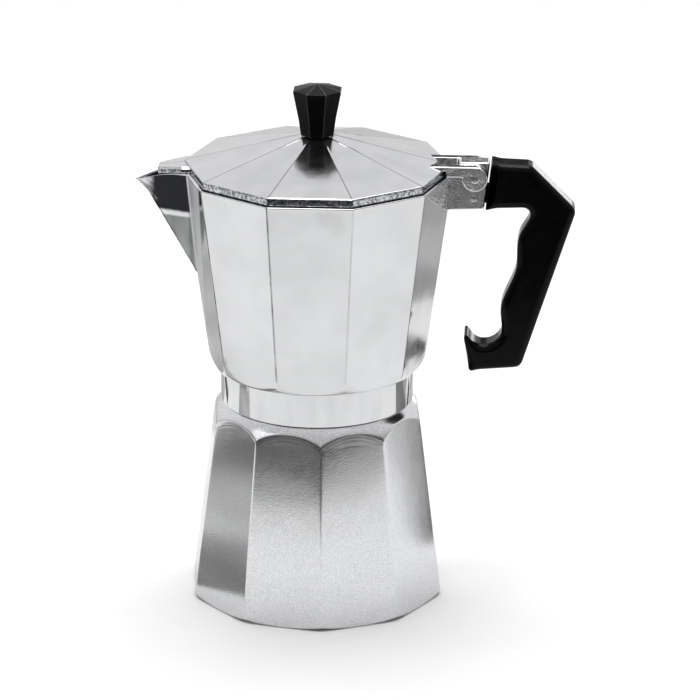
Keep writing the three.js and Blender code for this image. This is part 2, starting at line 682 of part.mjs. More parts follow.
// The handle's side view, from the bracket's top outer corner: [out, down].
function handleOutline() {
  const x = (out) => BRACKET_TOP_X + out;
  const z = (down) => BRACKET_TOP_Z - down;
  const outline = new THREE.Shape();
  outline.moveTo(x(HANDLE_END_GAP), z(0));
  outline.lineTo(x(14.4), z(0.5));
  outline.quadraticCurveTo(x(16.2), z(0.6), x(17.6), z(2));
  outline.lineTo(x(32.6), z(17));
  outline.quadraticCurveTo(x(34.2), z(18.8), x(33.4), z(21.2));
  outline.lineTo(x(14.2), z(82));
  outline.quadraticCurveTo(x(13.3), z(84.4), x(10.8), z(84.6));
  outline.lineTo(x(-5.6), z(86));
  outline.quadraticCurveTo(x(-7.2), z(86), x(-7.3), z(84.4));
  outline.lineTo(x(-9.2), z(72.4));
  outline.quadraticCurveTo(x(-9.2), z(70), x(-7.6), z(71.2));
  outline.bezierCurveTo(x(-4.6), z(76.8), x(3), z(76), x(5.4), z(70.4));
  outline.bezierCurveTo(x(6.2), z(67), x(4.8), z(63.4), x(5.2), z(59.6));
  outline.bezierCurveTo(x(5.8), z(53.4), x(11), z(47.4), x(11.2), z(40.6));
  outline.bezierCurveTo(x(11.2), z(37), x(10.8), z(31.4), x(12.6), z(27.8));
  outline.bezierCurveTo(x(14), z(25.2), x(16.2), z(22.6), x(16), z(20.4));
  outline.quadraticCurveTo(x(15.6), z(18.2), x(13), z(18));
  outline.lineTo(x(-BRACKET_LEAN + HANDLE_END_GAP), z(18.6));
  return outline;
}

function handle() {
  const grip = plate(handleOutline(), HANDLE_HALF_W, HANDLE_EDGE);
  const hole = crossBar(RIVET_R + GAP, HANDLE_HALF_W, RIVET_X, RIVET_Z);
  return grip.add(tongue(0)).subtract(hole);
}

// ---------- Lid ----------

function lidShell() {
  const bend = LID_FLAT_R;
  return turned([
    [0, LID_TOP_Z],
    [bend, LID_TOP_Z - 0.05],
    [LID_R, LID_EDGE_Z],
    [LID_R, LID_Z],
    [LID_R - LID_RIM_T, LID_Z],
    [LID_R - LID_RIM_T, LID_EDGE_Z - LID_T],
    [bend, LID_TOP_Z - LID_T],
    [0, LID_TOP_Z - LID_T],
  ], SIDES, COLLECTOR_TURN);
}

// The two arms run out over the rim to the knuckles, with a slot between them for the bracket.
function lidArms() {
  const top = HINGE_Z + KNUCKLE_R;
  const slope = LID_RISE / (LID_R - LID_FLAT_R);
  const rootX = LID_R - (top - LID_EDGE_Z) / slope - 1;
  const outline = new THREE.Shape();
  outline.moveTo(rootX, top);
  outline.lineTo(rootX, top - LID_T / 2);
  outline.lineTo(LID_R - LID_RIM_T, LID_EDGE_Z - LID_T / 2);
  outline.lineTo(LID_R - LID_RIM_T, LID_Z);
  outline.lineTo(HINGE_X, LID_Z);
  outline.lineTo(HINGE_X, top);
  const bar = plate(outline, ARM_HALF_W).add(crossBar(KNUCKLE_R, ARM_HALF_W, HINGE_X, HINGE_Z, 2 * SMALL));
  const slot = crossBar(BRACKET_NOSE_R + RUNNING, BRACKET_HALF_W + RUNNING, HINGE_X, HINGE_Z, 2 * SMALL);
  return bar.subtract(slot).subtract(crossBar(PIN_R + GAP, ARM_HALF_W + PAST, HINGE_X, HINGE_Z));
}

// A tongue that covers the root of the spout and falls a little towards its tip.
function lidBeak() {
  const section = (x, halfW, low, high) => [
    [x, -halfW, low],
    [x, halfW, low],
    [x, halfW, high],
    [x, -halfW, high],
  ];
  const overRim = -COLLECTOR_RIM_R;
  const tipZ = LID_Z - BEAK_FALL;
  return skin([
    section(overRim - BEAK_REACH, BEAK_TIP_W, tipZ, tipZ + BEAK_T),
    section(overRim, BEAK_RIM_W, LID_Z, LID_Z + BEAK_RIM_T),
    section(-LID_R + LID_RIM_T, BEAK_ROOT_W, LID_Z, LID_EDGE_Z - GAP),
  ]);
}

function lid() {
  const hole = rod(SCREW_R + GAP, LID_TOP_Z - LID_T - PAST, LID_TOP_Z + PAST);
  return lidShell().add(lidArms()).add(lidBeak()).subtract(hole);
}

// ---------- Knob ----------

function knob() {
  const foot = LID_TOP_Z + GAP;
  const rim = foot + KNOB_H;
  const outside = turned([
    [0, foot],
    [KNOB_FOOT_R, foot],
    [KNOB_WAIST_R, foot + KNOB_WAIST_H],
    [KNOB_RIM_R, rim],
    [0, rim + KNOB_CAP],
  ], KNOB_SIDES, Math.PI / KNOB_SIDES);
  return outside.subtract(rod(SCREW_R + GAP, foot - PAST, foot + SCREW_LENGTH));
}

function knobScrew() {
  const under = LID_TOP_Z - LID_T - 2 * GAP - WASHER_T;
  const end = LID_TOP_Z + SCREW_LENGTH - SCREW_END_GAP;
  const profile = [
    [0, under - SCREW_HEAD_T],
    [SCREW_HEAD_R - SCREW_HEAD_EDGE, under - SCREW_HEAD_T],
    [SCREW_HEAD_R, under - SCREW_HEAD_T / 2],
    [SCREW_HEAD_R, under],
    [SCREW_R, under],
    [SCREW_R, end],
    [0, end],
  ];
  return turned(profile, SMALL);
}

function knobWasher() {
  const top = LID_TOP_Z - LID_T - GAP;
  return ring(SCREW_R + GAP, WASHER_R, top - WASHER_T, top, SMALL);
}

// ---------- Assembly ----------

const pot = new THREE.Group();
pot.add(
  piece("boiler", boiler(), castAluminium),
  ...valvePieces(),
  piece("funnel", funnel(), sheetAluminium),
  piece("funnel_strainer", pierced(BASKET_R - SHEET - GAP, STRAINER_Z, STRAINER_T), sheetAluminium),
  piece("gasket", ring(GASKET_BORE_R, GASKET_R, GASKET_Z, GASKET_Z + GASKET_T), rubber),
  piece("filter_plate", pierced(PLATE_R, PLATE_Z, PLATE_T), sheetAluminium),
  piece("collector", collector(), polishedAluminium),
  piece("handle", handle(), blackPlastic),
  piece("handle_pin", crossBar(RIVET_R, BRACKET_HALF_W + PIN_PROUD, RIVET_X, RIVET_Z), steel),
  piece("hinge_pin", crossBar(PIN_R, ARM_HALF_W - PIN_SUNK, HINGE_X, HINGE_Z), steel),
  piece("lid", lid(), polishedAluminium),
  piece("knob", knob(), blackPlastic),
  piece("knob_screw", knobScrew(), steel),
  piece("knob_washer", knobWasher(), steel),
);
export default pot;
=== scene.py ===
# %% [markdown]
# # A ten-sided moka pot
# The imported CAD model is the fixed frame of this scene. Every piece that shows is rebuilt here as
# a finer surface in the same place, worked out with numpy, and gets a procedural finish.
# Lengths are in metres. +Z is up, the handle lies towards +X and the spout towards -X.

# %% The frame
import math

import bmesh
import bpy
import numpy as np
from mathutils import Matrix, Vector


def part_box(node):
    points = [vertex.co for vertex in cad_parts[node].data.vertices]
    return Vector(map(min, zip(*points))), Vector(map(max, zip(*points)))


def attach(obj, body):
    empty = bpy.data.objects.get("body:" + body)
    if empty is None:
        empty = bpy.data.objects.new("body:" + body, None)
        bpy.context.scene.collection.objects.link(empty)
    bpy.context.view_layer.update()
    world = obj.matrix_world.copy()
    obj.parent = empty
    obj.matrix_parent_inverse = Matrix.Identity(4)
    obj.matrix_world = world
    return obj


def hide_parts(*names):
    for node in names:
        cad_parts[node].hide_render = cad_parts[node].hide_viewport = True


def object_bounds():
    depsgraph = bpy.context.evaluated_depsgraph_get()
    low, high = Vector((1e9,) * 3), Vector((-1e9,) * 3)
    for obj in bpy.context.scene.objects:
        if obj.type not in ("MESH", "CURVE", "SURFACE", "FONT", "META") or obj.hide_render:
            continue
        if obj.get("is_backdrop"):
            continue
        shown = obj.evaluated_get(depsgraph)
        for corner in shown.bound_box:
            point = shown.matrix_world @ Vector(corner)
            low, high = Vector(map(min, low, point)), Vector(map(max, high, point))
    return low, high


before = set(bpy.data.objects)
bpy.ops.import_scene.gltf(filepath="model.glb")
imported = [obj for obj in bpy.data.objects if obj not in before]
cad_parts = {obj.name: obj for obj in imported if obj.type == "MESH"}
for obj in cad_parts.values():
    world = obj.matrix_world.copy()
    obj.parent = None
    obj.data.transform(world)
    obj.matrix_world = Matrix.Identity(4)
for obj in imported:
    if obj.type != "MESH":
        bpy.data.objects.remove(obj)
cad_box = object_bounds()

# %% [markdown]
# ## Camera
# The camera stands well back with a long lens, a little above the lid and a little to the
# handle's side. It is placed by azimuth, elevation and distance round a point on the pot.

# %% Camera
MM = 0.001
TAU = 2 * math.pi


def add_object(name, data):
    """Puts a mesh, a lamp or a camera into the scene."""
    added = bpy.data.objects.new(name, data)
    bpy.context.scene.collection.objects.link(added)
    return added


def add_camera(azimuth, elevation, distance, aim, roll, lens):
    """The camera looks at aim from a direction given in degrees, turned about its own axis by roll."""
    a, e = math.radians(azimuth), math.radians(elevation)
    back = Vector((math.sin(a) * math.cos(e), -math.cos(a) * math.cos(e), math.sin(e)))
    data = bpy.data.cameras.new("camera")
    data.lens = lens
    data.sensor_width = 36
    data.clip_start, data.clip_end = 0.1, 20
    camera = add_object("camera", data)
    camera.rotation_mode = "QUATERNION"
    turn = (-back).to_track_quat("-Z", "Y")
    camera.rotation_quaternion = turn @ Matrix.Rotation(math.radians(roll), 3, "Z").to_quaternion()
    camera.location = Vector(aim) + distance * back
    bpy.context.scene.camera = camera
    return camera


azimuth, elevation, roll = 2.737, 19.55, 0.276  # degrees
distance, lens = 1.5124, 194.43
right_of_axis, aim_height = 13.17 * MM, 100.2 * MM
side_x, side_y = math.cos(math.radians(azimuth)), math.sin(math.radians(azimuth))
aim = (right_of_axis * side_x, right_of_axis * side_y, aim_height)
camera = add_camera(azimuth, elevation, distance, aim, roll, lens)
print("camera at", [round(v, 3) for v in camera.location])

# %% [markdown]
# ## Working with grids
# Most pieces are one sheet of quads: each row is a closed line round the piece, and the rows run
# from one end of its profile to the other. `grid_piece` turns such an array into a mesh, and
# `rounded` puts a small arc on the corners of a profile, because no real edge is perfectly sharp
# and the arc is what catches the light.

# %% Grid helpers
def unit(v):
    """Vectors along the last axis, each divided by its length."""
    return v / np.maximum(np.linalg.norm(v, axis=-1, keepdims=True), 1e-12)


def rounded(points, radius, steps=5, closed=False):
    """A polyline whose corners are arcs. Each arc touches both sides at radius * cot(half the angle),
    limited to 0.45 of the shorter side. radius is one number or one for each point."""
    points = np.asarray(points, float)
    radii = np.broadcast_to(np.asarray(radius, float), (len(points),))
    before, after = np.roll(points, 1, 0), np.roll(points, -1, 0)
    out = []
    for i, (p, a, b, r) in enumerate(zip(points, before, after, radii)):
        if r <= 0 or (not closed and i in (0, len(points) - 1)):
            out.append(p)
            continue
        u, v = unit(a - p), unit(b - p)
        half = math.acos(np.clip(u @ v, -1, 1)) / 2
        if half > math.pi / 2 - 0.01:
            out.append(p)
            continue
        reach = min(r / math.tan(half), 0.45 * np.linalg.norm(a - p), 0.45 * np.linalg.norm(b - p))
        centre = p + unit(u + v) * reach / math.cos(half)
        size = reach * math.tan(half)
        start, end = unit(p + u * reach - centre), unit(p + v * reach - centre)
        for t in np.linspace(0, 1, steps + 1):
            out.append(centre + size * unit(start * (1 - t) + end * t + 1e-15))
    return np.array(out)


def held(points, step=0.3 * MM):
    """A profile with a point just inside each end of every long run. The smooth shading then turns
    only at the ends of a run, so a straight wall mirrors as a straight wall."""
    out = [points[0]]
    for a, b in zip(points[:-1], points[1:]):
        length = np.linalg.norm(b - a)
        if length > 4 * step:
            out += [a + (b - a) * step / length, b - (b - a) * step / length]
        out.append(b)
    return np.array(out)


def grid_faces(rows, columns, loop):
    """Quads between neighbouring rows, closed round the columns, and round the rows if loop."""
    r = np.arange(rows if loop else rows - 1)[:, None]
    c = np.arange(columns)[None, :]
    right, up = (c + 1) % columns, (r + 1) % rows
    corners = [r * columns + c, r * columns + right, up * columns + right, up * columns + c]
    return np.stack(corners, -1).reshape(-1, 4)


def enclosed_volume(points, faces):
    """The volume inside quads: the sum of the signed tetrahedra from the origin to each triangle."""
    a, b, c, d = (points[faces[:, i]] for i in range(4))
    one = np.einsum("ij,ij->i", a, np.cross(b, c))
    two = np.einsum("ij,ij->i", a, np.cross(c, d))
    return (one.sum() + two.sum()) / 6


def mesh_from(name, points, faces, find_outside=False):
    """A smooth mesh of points and faces. Corners that coincide are merged, so a pole closes."""
    mesh = bpy.data.meshes.new(name)
    mesh.from_pydata(points, [], faces)
    work = bmesh.new()
    work.from_mesh(mesh)
    bmesh.ops.remove_doubles(work, verts=work.verts, dist=1e-7)
    bmesh.ops.dissolve_degenerate(work, edges=work.edges, dist=1e-8)
    if find_outside:
        bmesh.ops.recalc_face_normals(work, faces=work.faces)
    work.to_mesh(mesh)
    work.free()
    mesh.polygons.foreach_set("use_smooth", np.ones(len(mesh.polygons), bool))
    mesh.update()
    return mesh


def grid_piece(name, rows, loop=False):
    """An object whose skin joins the rows, an array of rows x columns x 3, with its faces outwards."""
    rows = np.asarray(rows, float)
    points = rows.reshape(-1, 3)
    faces = grid_faces(rows.shape[0], rows.shape[1], loop)
    if enclosed_volume(points, faces) < 0:
        faces = faces[:, ::-1]
    return add_object(name, mesh_from(name, points, faces))


def place(piece, body, slot, finish, *nodes):
    """Puts a finish on a piece and says which body it rides on and which nodes it stands for."""
    piece.data.materials.clear()
    piece.data.materials.append(finish)
    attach(piece, body)
    if nodes:
        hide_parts(*nodes)
    print(f"{piece.name}: {len(piece.data.polygons)} faces on {body}")
    return piece


def turned_rows(profile, angles):
    """Rows of a turned piece: each [radius, height] of the profile goes round the Z axis."""
    profile = np.asarray(profile, float)
    r, z = profile[:, :1], profile[:, 1:]
    return np.stack([r * np.cos(angles), r * np.sin(angles), z + 0 * angles], -1)


def moved(rows, origin, axis):
    """Rows made along +Z, carried to an origin with +Z turned onto an axis."""
    turn = Vector((0, 0, 1)).rotation_difference(Vector(axis)).to_matrix()
    return rows @ np.array(turn).T + np.asarray(origin, float)

# %% [markdown]
# ## Facets
# The vessels, the lid and the knob are many-sided. A facet is flat, so the distance from the axis
# grows towards each corner as one over the cosine. The corners themselves are small arcs, and
# where a flat facet runs out into a turned shoulder the two radii are blended, which draws the
# scalloped line that a lathe leaves on a faceted casting.

# %% Facet helpers
def facet_radius(angle, middle, sides, first, edge):
    """Distance from the axis to a polygon with rounded corners. On a flat it is middle / cos(angle
    from the facet's middle); near a corner it is the far crossing of the ray and the corner's arc."""
    half = math.pi / sides
    off = (angle - first + half) % (2 * half) - half
    centre = (middle - edge) / math.cos(half)
    reach = half - np.arctan2((middle - edge) * math.tan(half), middle)
    arc = centre * np.cos(off) + np.sqrt(np.maximum(edge**2 - (centre * np.sin(off)) ** 2, 0))
    return np.where(np.abs(off) < reach, arc, middle / np.cos(half - np.abs(off)))


def facet_angles(sides, first, edge_half, flat_steps, edge_steps):
    """Column angles once round: close together over each corner and wider over each flat."""
    pitch = TAU / sides
    corner = np.linspace(-edge_half, edge_half, edge_steps, endpoint=False)
    flat = np.linspace(edge_half, pitch - edge_half, flat_steps, endpoint=False)
    return (first + np.arange(sides)[:, None] * pitch + np.concatenate([corner, flat])).ravel()


def soft_min(a, b, k):
    """The smaller of two lengths, with a blend about k wide where they cross."""
    h = np.clip(0.5 + 0.5 * (b - a) / k, 0, 1)
    return b * (1 - h) + a * h - k * h * (1 - h)


def soft_max(a, b, k):
    """The larger of two lengths, with a blend about k wide where they cross."""
    return -soft_min(-a, -b, k)


def ring_rows(radius, z, angles):
    """Rows at radius(angle) and height z(angle); either may be one number for a whole row."""
    radius, z = np.broadcast_arrays(radius, z)
    radius = radius + 0 * angles
    return np.stack([radius * np.cos(angles), radius * np.sin(angles), z + 0 * angles], -1)


# %% [markdown]
# ## Boiler
# The boiler is a heavy casting: ten flats that spread towards a round foot, a turned shoulder, and
# a threaded neck that the collar hides. One sheet makes it all: up the outside, over the neck's
# rim, down the inside to the floor.

# %% Boiler sizes
SIDES = 10
boiler_first = math.radians(-84.77)  # direction of one corner
foot_corner, top_corner = 52 * MM, 42.95 * MM
foot_edge, facets_top = 3 * MM, 74.1 * MM
neck_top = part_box("boiler")[1].z
shoulder_top = neck_top - 9.6 * MM
shoulder_radius = 38 * MM
neck_radius, neck_bore = 33.4 * MM, 30.3 * MM
boiler_wall, boiler_floor = 3 * MM, 3.5 * MM
pitch, thread_depth = 3 * MM, 1 * MM
thread_start, thread_turns = shoulder_top + 2.1 * MM, 1.8
facet_cosine = math.cos(math.pi / SIDES)
cast_corner = 1.3 * MM  # radius of a vessel's corners, seen from above
proud = 0.2 * MM  # how far the turned outline stands outside the corners
print("boiler: foot to neck", round(neck_top * 1000, 1), "mm")


# %% Boiler outside
def boiler_middle(z):
    """Distance from the axis to the middle of a flat: a straight line from foot to shoulder."""
    share = (z - foot_edge) / (facets_top - foot_edge)
    return (foot_corner + (top_corner - foot_corner) * share) * facet_cosine


def boiler_outside(angles):
    """Rows up the outside. Each is the smaller of the flats and a turned outline, which is a
    quarter ellipse at the foot and a slightly bellied cone at the shoulder."""
    turn = np.linspace(0, math.pi / 2, 10)
    foot_r = foot_corner + proud - 4.2 * MM * (1 - np.sin(turn))
    foot_z = foot_edge * (1 - np.cos(turn))
    low, high = 9 * MM, 72 * MM
    wall_z = np.concatenate([np.linspace(foot_edge, low, 9)[1:], np.linspace(low, high, 22)[1:]])
    wall_r = boiler_middle(wall_z) / facet_cosine + proud
    t = np.linspace(0, 1, 56)
    belly = 0.7 * MM * np.sin(math.pi * t)
    turned_r = top_corner + proud + (shoulder_radius - top_corner - proud) * t + belly
    cone_foot = facets_top - 0.6 * MM
    shoulder_z = cone_foot + (shoulder_top - cone_foot) * t
    z = np.concatenate([foot_z, wall_z, shoulder_z])[:, None]
    outline = np.concatenate([foot_r, wall_r, turned_r])[:, None]
    flats = facet_radius(angles, boiler_middle(z), SIDES, boiler_first, cast_corner)
    return ring_rows(soft_min(flats, outline, 0.45 * MM), z, angles)


def ridge_height(angles, z, start, turns):
    """Height of a right-hand thread: a trapezoid round a line that climbs one pitch a turn. It fades
    in over a twentieth of a turn, and out again."""
    share = ((angles + math.pi / 2) % TAU) / TAU
    height = np.zeros(np.broadcast_shapes(angles.shape, z.shape))
    fade, foot_half, crest_half = 20, 1 * MM, 0.4 * MM
    for k in range(-1, 5):
        along = share + k
        off = np.abs(z - start - pitch * along)
        inside = np.clip((along + 0.02) * fade, 0, 1) * np.clip((turns + 0.02 - along) * fade, 0, 1)
        flank = np.clip((foot_half - off) / (foot_half - crest_half), 0, 1)
        height = np.maximum(height, inside * flank)
    return thread_depth * height


def boiler_rows(angles):
    """The whole sheet: sunk foot, outside, threaded neck, inside and floor."""
    sunk = 0.5 * MM
    foot = rounded([[0, sunk], [33 * MM, sunk], [34 * MM, 0], [47.8 * MM, 0]], 0.4 * MM)
    neck_foot = shoulder_top + 0.3 * MM
    neck_z = np.linspace(neck_foot, neck_top - 0.4 * MM, 52)[:, None]
    neck_r = neck_radius + ridge_height(angles, neck_z, thread_start, thread_turns)
    ledge = [[shoulder_radius, shoulder_top], [neck_radius, shoulder_top], [neck_radius, neck_foot]]
    ledge = rounded(ledge, 0.2 * MM)
    bend_z, foot_z = facets_top - 2 * MM, 9 * MM
    inner_top, inner_foot = boiler_middle(bend_z) - boiler_wall, boiler_middle(foot_z) - boiler_wall
    inside = rounded(
        [
            [neck_radius, neck_top - 0.3 * MM],
            [neck_radius, neck_top],
            [neck_bore, neck_top],
            [neck_bore, shoulder_top],
            [shoulder_radius - 4 * MM, shoulder_top - boiler_wall],
            [inner_top, bend_z],
            [inner_foot, foot_z],
            [inner_foot - 1 * MM, boiler_floor],
            [0, boiler_floor],
        ],
        [0, 0.3 * MM, 0.3 * MM, 1 * MM, 2 * MM, 4 * MM, 1 * MM, 5 * MM, 0],
    )
    up = [turned_rows(held(foot), angles), boiler_outside(angles), turned_rows(held(ledge), angles)]
    return np.concatenate(up + [ring_rows(neck_r, neck_z, angles), turned_rows(inside, angles)])


boiler_angles = facet_angles(SIDES, boiler_first, math.radians(0.75), 16, 8)
boiler = grid_piece("boiler_shell", boiler_rows(boiler_angles))

# %% [markdown]
# ## Collector
# The upper vessel is one casting too: a turned collar with the inner thread, a rounded foot, ten
# flats that spread towards the rim, and the spout. Seen from the axis the spout is only a place
# where the wall stands further out, so the same kind of sheet holds it: each flank is a straight
# line from a crease on the flats to the keel, and the wall is whichever of the two is further out.

# %% Collector sizes
collector_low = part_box("collector")[0]
collar_bottom = collector_low.z
collar_radius = 38.6 * MM
collar_top = collar_bottom + 13.8 * MM
facets_foot = collar_top + 8 * MM
facets_foot_corner = 43.9 * MM
rim_corner = 53.66 * MM
rim_z = facets_foot + 72.3 * MM
collector_wall = 2.2 * MM
floor_z = collar_bottom + 19.3 * MM
tip_x = -collector_low.x  # how far the spout reaches
spout_depth, tip_drop, lip_drop = 43.5 * MM, 4.6 * MM, 9.6 * MM
lip_x = tip_x - 4.9 * MM
spout_half = 8.6 * MM
thread_bore = 33.9 * MM
lead_in = 35.2 * MM  # radius of the bore's mouth, wider than the thread so that it comes off freely
print("collector: rim at", round(rim_z * 1000, 1), "mm, spout reaches", round(tip_x * 1000, 1), "mm")


# %% Collector walls
def collector_middle(z):
    """Distance from the axis to the middle of a flat, a straight line from foot to rim."""
    share = (z - facets_foot) / (rim_z - facets_foot)
    return (facets_foot_corner + (rim_corner - facets_foot_corner) * share) * facet_cosine


def keel_x(z):
    """How far out the spout's keel is: a straight run, then a flare to the tip, with a soft bend."""
    start = rim_z - spout_depth
    corner = [[collector_middle(at) / facet_cosine, at] for at in (start - 8 * MM, start)]
    flare = [[lip_x, rim_z - lip_drop], [tip_x, rim_z - tip_drop]]
    line = rounded(corner + flare, [0, 30 * MM, 12 * MM, 0], 12)
    return np.interp(z, line[:, 1], line[:, 0])


def spout_radius(off, z, wall):
    """Distance to the spout's flank along a ray that leaves the spout's middle by the angle off. The
    flank joins the crease (crease, half) to the keel (keel, 0), and near the keel the angle is
    replaced by a hyperbola, which rounds the edge."""
    below_rim = rim_z - z
    outer_half = spout_half * np.clip(1 - (below_rim - tip_drop) / (spout_depth - tip_drop), 0, 1.2)
    crease = collector_middle(z) / facet_cosine - outer_half * math.tan(math.pi / SIDES)
    keel = keel_x(z) - 1.9 * wall
    half = np.maximum(outer_half - wall, 1e-6)
    blunt = 0.15 * half / keel
    bend = 0.65 * blunt
    reach = keel * (half - bend * crease) / (half - bend * keel)
    along = np.sqrt(off**2 + blunt**2) - (blunt - bend)
    radius = half * reach / (np.sin(along) * (reach - crease) + half * np.cos(along))
    return np.where((half > 0.1 * MM) & (off < 1), radius, 0)


def collector_side(angles, z, wall):
    """The wall's radius: flats, or the spout where it reaches further."""
    off = np.abs(angles % TAU - math.pi)
    flats = facet_radius(angles, collector_middle(z) - wall, SIDES, 0, cast_corner)
    return soft_max(flats, spout_radius(off, z, 0.8 * wall), 1 * MM)


def lip_fall(share):
    """How far the rim has fallen at a share of the spout's length: slowly first, steeply at the tip."""
    return tip_drop * share**1.7


def rim_height(angles):
    """Height of the rim: level, but falling in a curve along the spout to its tip."""
    reach = collector_side(angles, np.full_like(angles, rim_z - tip_drop), 0)
    flats = facet_radius(angles, collector_middle(rim_z - tip_drop), SIDES, 0, cast_corner)
    share = np.clip((reach - flats) / (tip_x - rim_corner), 0, 1)
    return rim_z - lip_fall(share)


# %% Collector sheet
def collector_rows(angles):
    """A closed sheet: collar, rounded foot, outside, rim, inside, floor, and the underside's seats."""
    collar = [[lead_in, collar_bottom], [collar_radius, collar_bottom]]
    collar = rounded(collar + [[collar_radius, collar_top - 0.3 * MM]], [0, 0.5 * MM, 0])
    t = np.linspace(0, 1, 44)[:, None]
    swell = np.sin(t * math.pi / 2)
    foot_outline = collar_radius + proud + (facets_foot_corner - collar_radius) * swell
    foot_z = collar_top + (facets_foot - collar_top) * (1 - np.cos(t * math.pi / 2))
    foot_flats = facet_radius(angles, collector_middle(foot_z), SIDES, 0, cast_corner)
    foot = ring_rows(soft_min(foot_flats, foot_outline, 0.6 * MM), foot_z, angles)
    top = rim_height(angles)
    edge = 0.5 * MM
    up = (np.linspace(0, 1, 60) ** 0.9)[1:, None]
    wall_z = facets_foot + up * (top - edge - facets_foot)
    outside = ring_rows(collector_side(angles, wall_z, 0), wall_z, angles)
    outer, inner = collector_side(angles, top, 0), collector_side(angles, top, collector_wall)
    a = np.linspace(0, math.pi / 2, 6)[1:, None]
    over = ring_rows(outer - edge * (1 - np.cos(a)), top - edge + edge * np.sin(a), angles)
    back = ring_rows(inner + edge * (1 - np.sin(a)), top - edge + edge * np.cos(a), angles)
    down = np.linspace(1, 0, 40)[:, None]
    fillet_r, gasket_z, gasket_r = 3 * MM, floor_z - 4.6 * MM, 32.9 * MM
    fillet_z, bore_z = floor_z + fillet_r, neck_top + 0.5 * MM
    inside_z = fillet_z + down * (top - 2 * edge - fillet_z)
    inside = ring_rows(collector_side(angles, inside_z, collector_wall), inside_z, angles)
    b = np.linspace(0, math.pi / 2, 8)[1:, None]
    low = collector_side(angles, np.full_like(angles, fillet_z), collector_wall)
    fillet_rows = fillet_z - fillet_r * np.sin(b)
    fillet = ring_rows(low - fillet_r * (1 - np.cos(b)), fillet_rows, angles)
    seats = rounded(
        [
            [12 * MM, floor_z],
            [5 * MM, floor_z],
            [5 * MM, floor_z - 2.2 * MM],
            [25 * MM, floor_z - 2.2 * MM],
            [27 * MM, floor_z - 3.5 * MM],
            [30.3 * MM, floor_z - 3.5 * MM],
            [30.3 * MM, gasket_z],
            [gasket_r, gasket_z],
            [gasket_r, bore_z],
            [thread_bore, bore_z],
            [thread_bore, bore_z - 1 * MM],
        ],
        0.15 * MM,
        2,
    )
    thread_z = np.linspace(neck_top - 0.6 * MM, collar_bottom + 0.1 * MM, 34)[:, None]
    groove = thread_bore + ridge_height(angles, thread_z, thread_start - 2 * pitch, 4.05)
    up = [turned_rows(held(collar), angles), foot, outside, over]
    under = [turned_rows(seats, angles), ring_rows(groove, thread_z, angles)]
    return np.concatenate(up + [back, inside, fillet] + under)


even = facet_angles(SIDES, 0, math.radians(0.75), 14, 8)
near_spout = math.pi + np.linspace(-1, 1, 71) * math.radians(13)
collector_angles = np.unique(np.round(np.concatenate([even % TAU, near_spout]), 6))
collector = grid_piece("collector_shell", collector_rows(collector_angles), loop=True)
print("collector columns:", len(collector_angles))

# %% [markdown]
# ## Column
# The coffee rises through a tapered column and runs out of a slot on each side of its head. It is
# a turned tube. The slots are where its skin dips in towards the bore.

# %% Column
def slot_depth(angles, z, middle_z, half_w, half_h, radius):
    """How open a slot is at a point of the skin, from 0 to 1, on the two sides across Y."""
    across = np.abs(radius * np.cos(angles))
    up = np.abs(z - middle_z)
    edge = 0.3 * MM
    return np.clip((half_w - across) / edge + 0.5, 0, 1) * np.clip((half_h - up) / edge + 0.5, 0, 1)


def column_rows(angles):
    """Up the outside with its two slots, over a rounded top."""
    top = floor_z + 58 * MM
    plain_z = np.linspace(floor_z - 1 * MM, top - 10 * MM, 12)
    z = np.concatenate([plain_z, np.linspace(top - 9.8 * MM, top - 2 * MM, 44)])
    radius = np.interp(z, [floor_z, top], [9.5 * MM, 7 * MM])[:, None]
    z = z[:, None]
    open_share = slot_depth(angles, z, top - 6 * MM, 2 * MM, 3 * MM, radius)
    side = ring_rows(radius - 3.4 * MM * open_share, z, angles)
    cap = rounded([[7.1 * MM, top - 2 * MM], [7 * MM, top], [0, top]], [0, 1.8 * MM, 0], 8)
    return np.concatenate([side[:1] * [0, 0, 1], side, turned_rows(cap, angles)])


round_angles = np.linspace(0, TAU, 96, endpoint=False)
column = grid_piece("column", column_rows(round_angles))

# %% [markdown]
# ## Plates with rounded edges
# The bracket, the lid's arms and the handle are flat pieces cut to an outline. Their edges are
# rounded by stepping the outline inwards as it nears each face. At a narrow end, such as the
# handle's hook, there is no room for a wide edge, so the step is limited to the largest circle
# that touches the outline there and lies inside it.

# %% Plate helper
def room_inside(line, normals):
    """Radius of the largest circle that touches each point of a closed outline from inside."""
    gap = line[None] - line[:, None]
    along = np.einsum("ijk,ik->ij", gap, normals)
    size = np.sum(gap**2, -1)
    return np.min(np.where(along > 1e-9, size / np.maximum(2 * along, 1e-9), 1), 1)


def even_line(line, step):
    """A closed outline with its points spread evenly, about step apart."""
    closed = np.vstack([line, line[:1]])
    lengths = np.concatenate([[0], np.cumsum(np.linalg.norm(np.diff(closed, axis=0), axis=1))])
    at = np.linspace(0, lengths[-1], int(lengths[-1] / step), endpoint=False)
    return np.stack([np.interp(at, lengths, closed[:, i]) for i in range(2)], -1)


def inward_normals(line):
    """Unit normals of a closed outline that point to its inside."""
    ahead = np.roll(line, -1, 0) - np.roll(line, 1, 0)
    area = np.sum(line[:, 0] * np.roll(line[:, 1], -1) - line[:, 1] * np.roll(line[:, 0], -1))
    return unit(np.stack([-ahead[:, 1], ahead[:, 0]], -1)) * math.copysign(1, area)


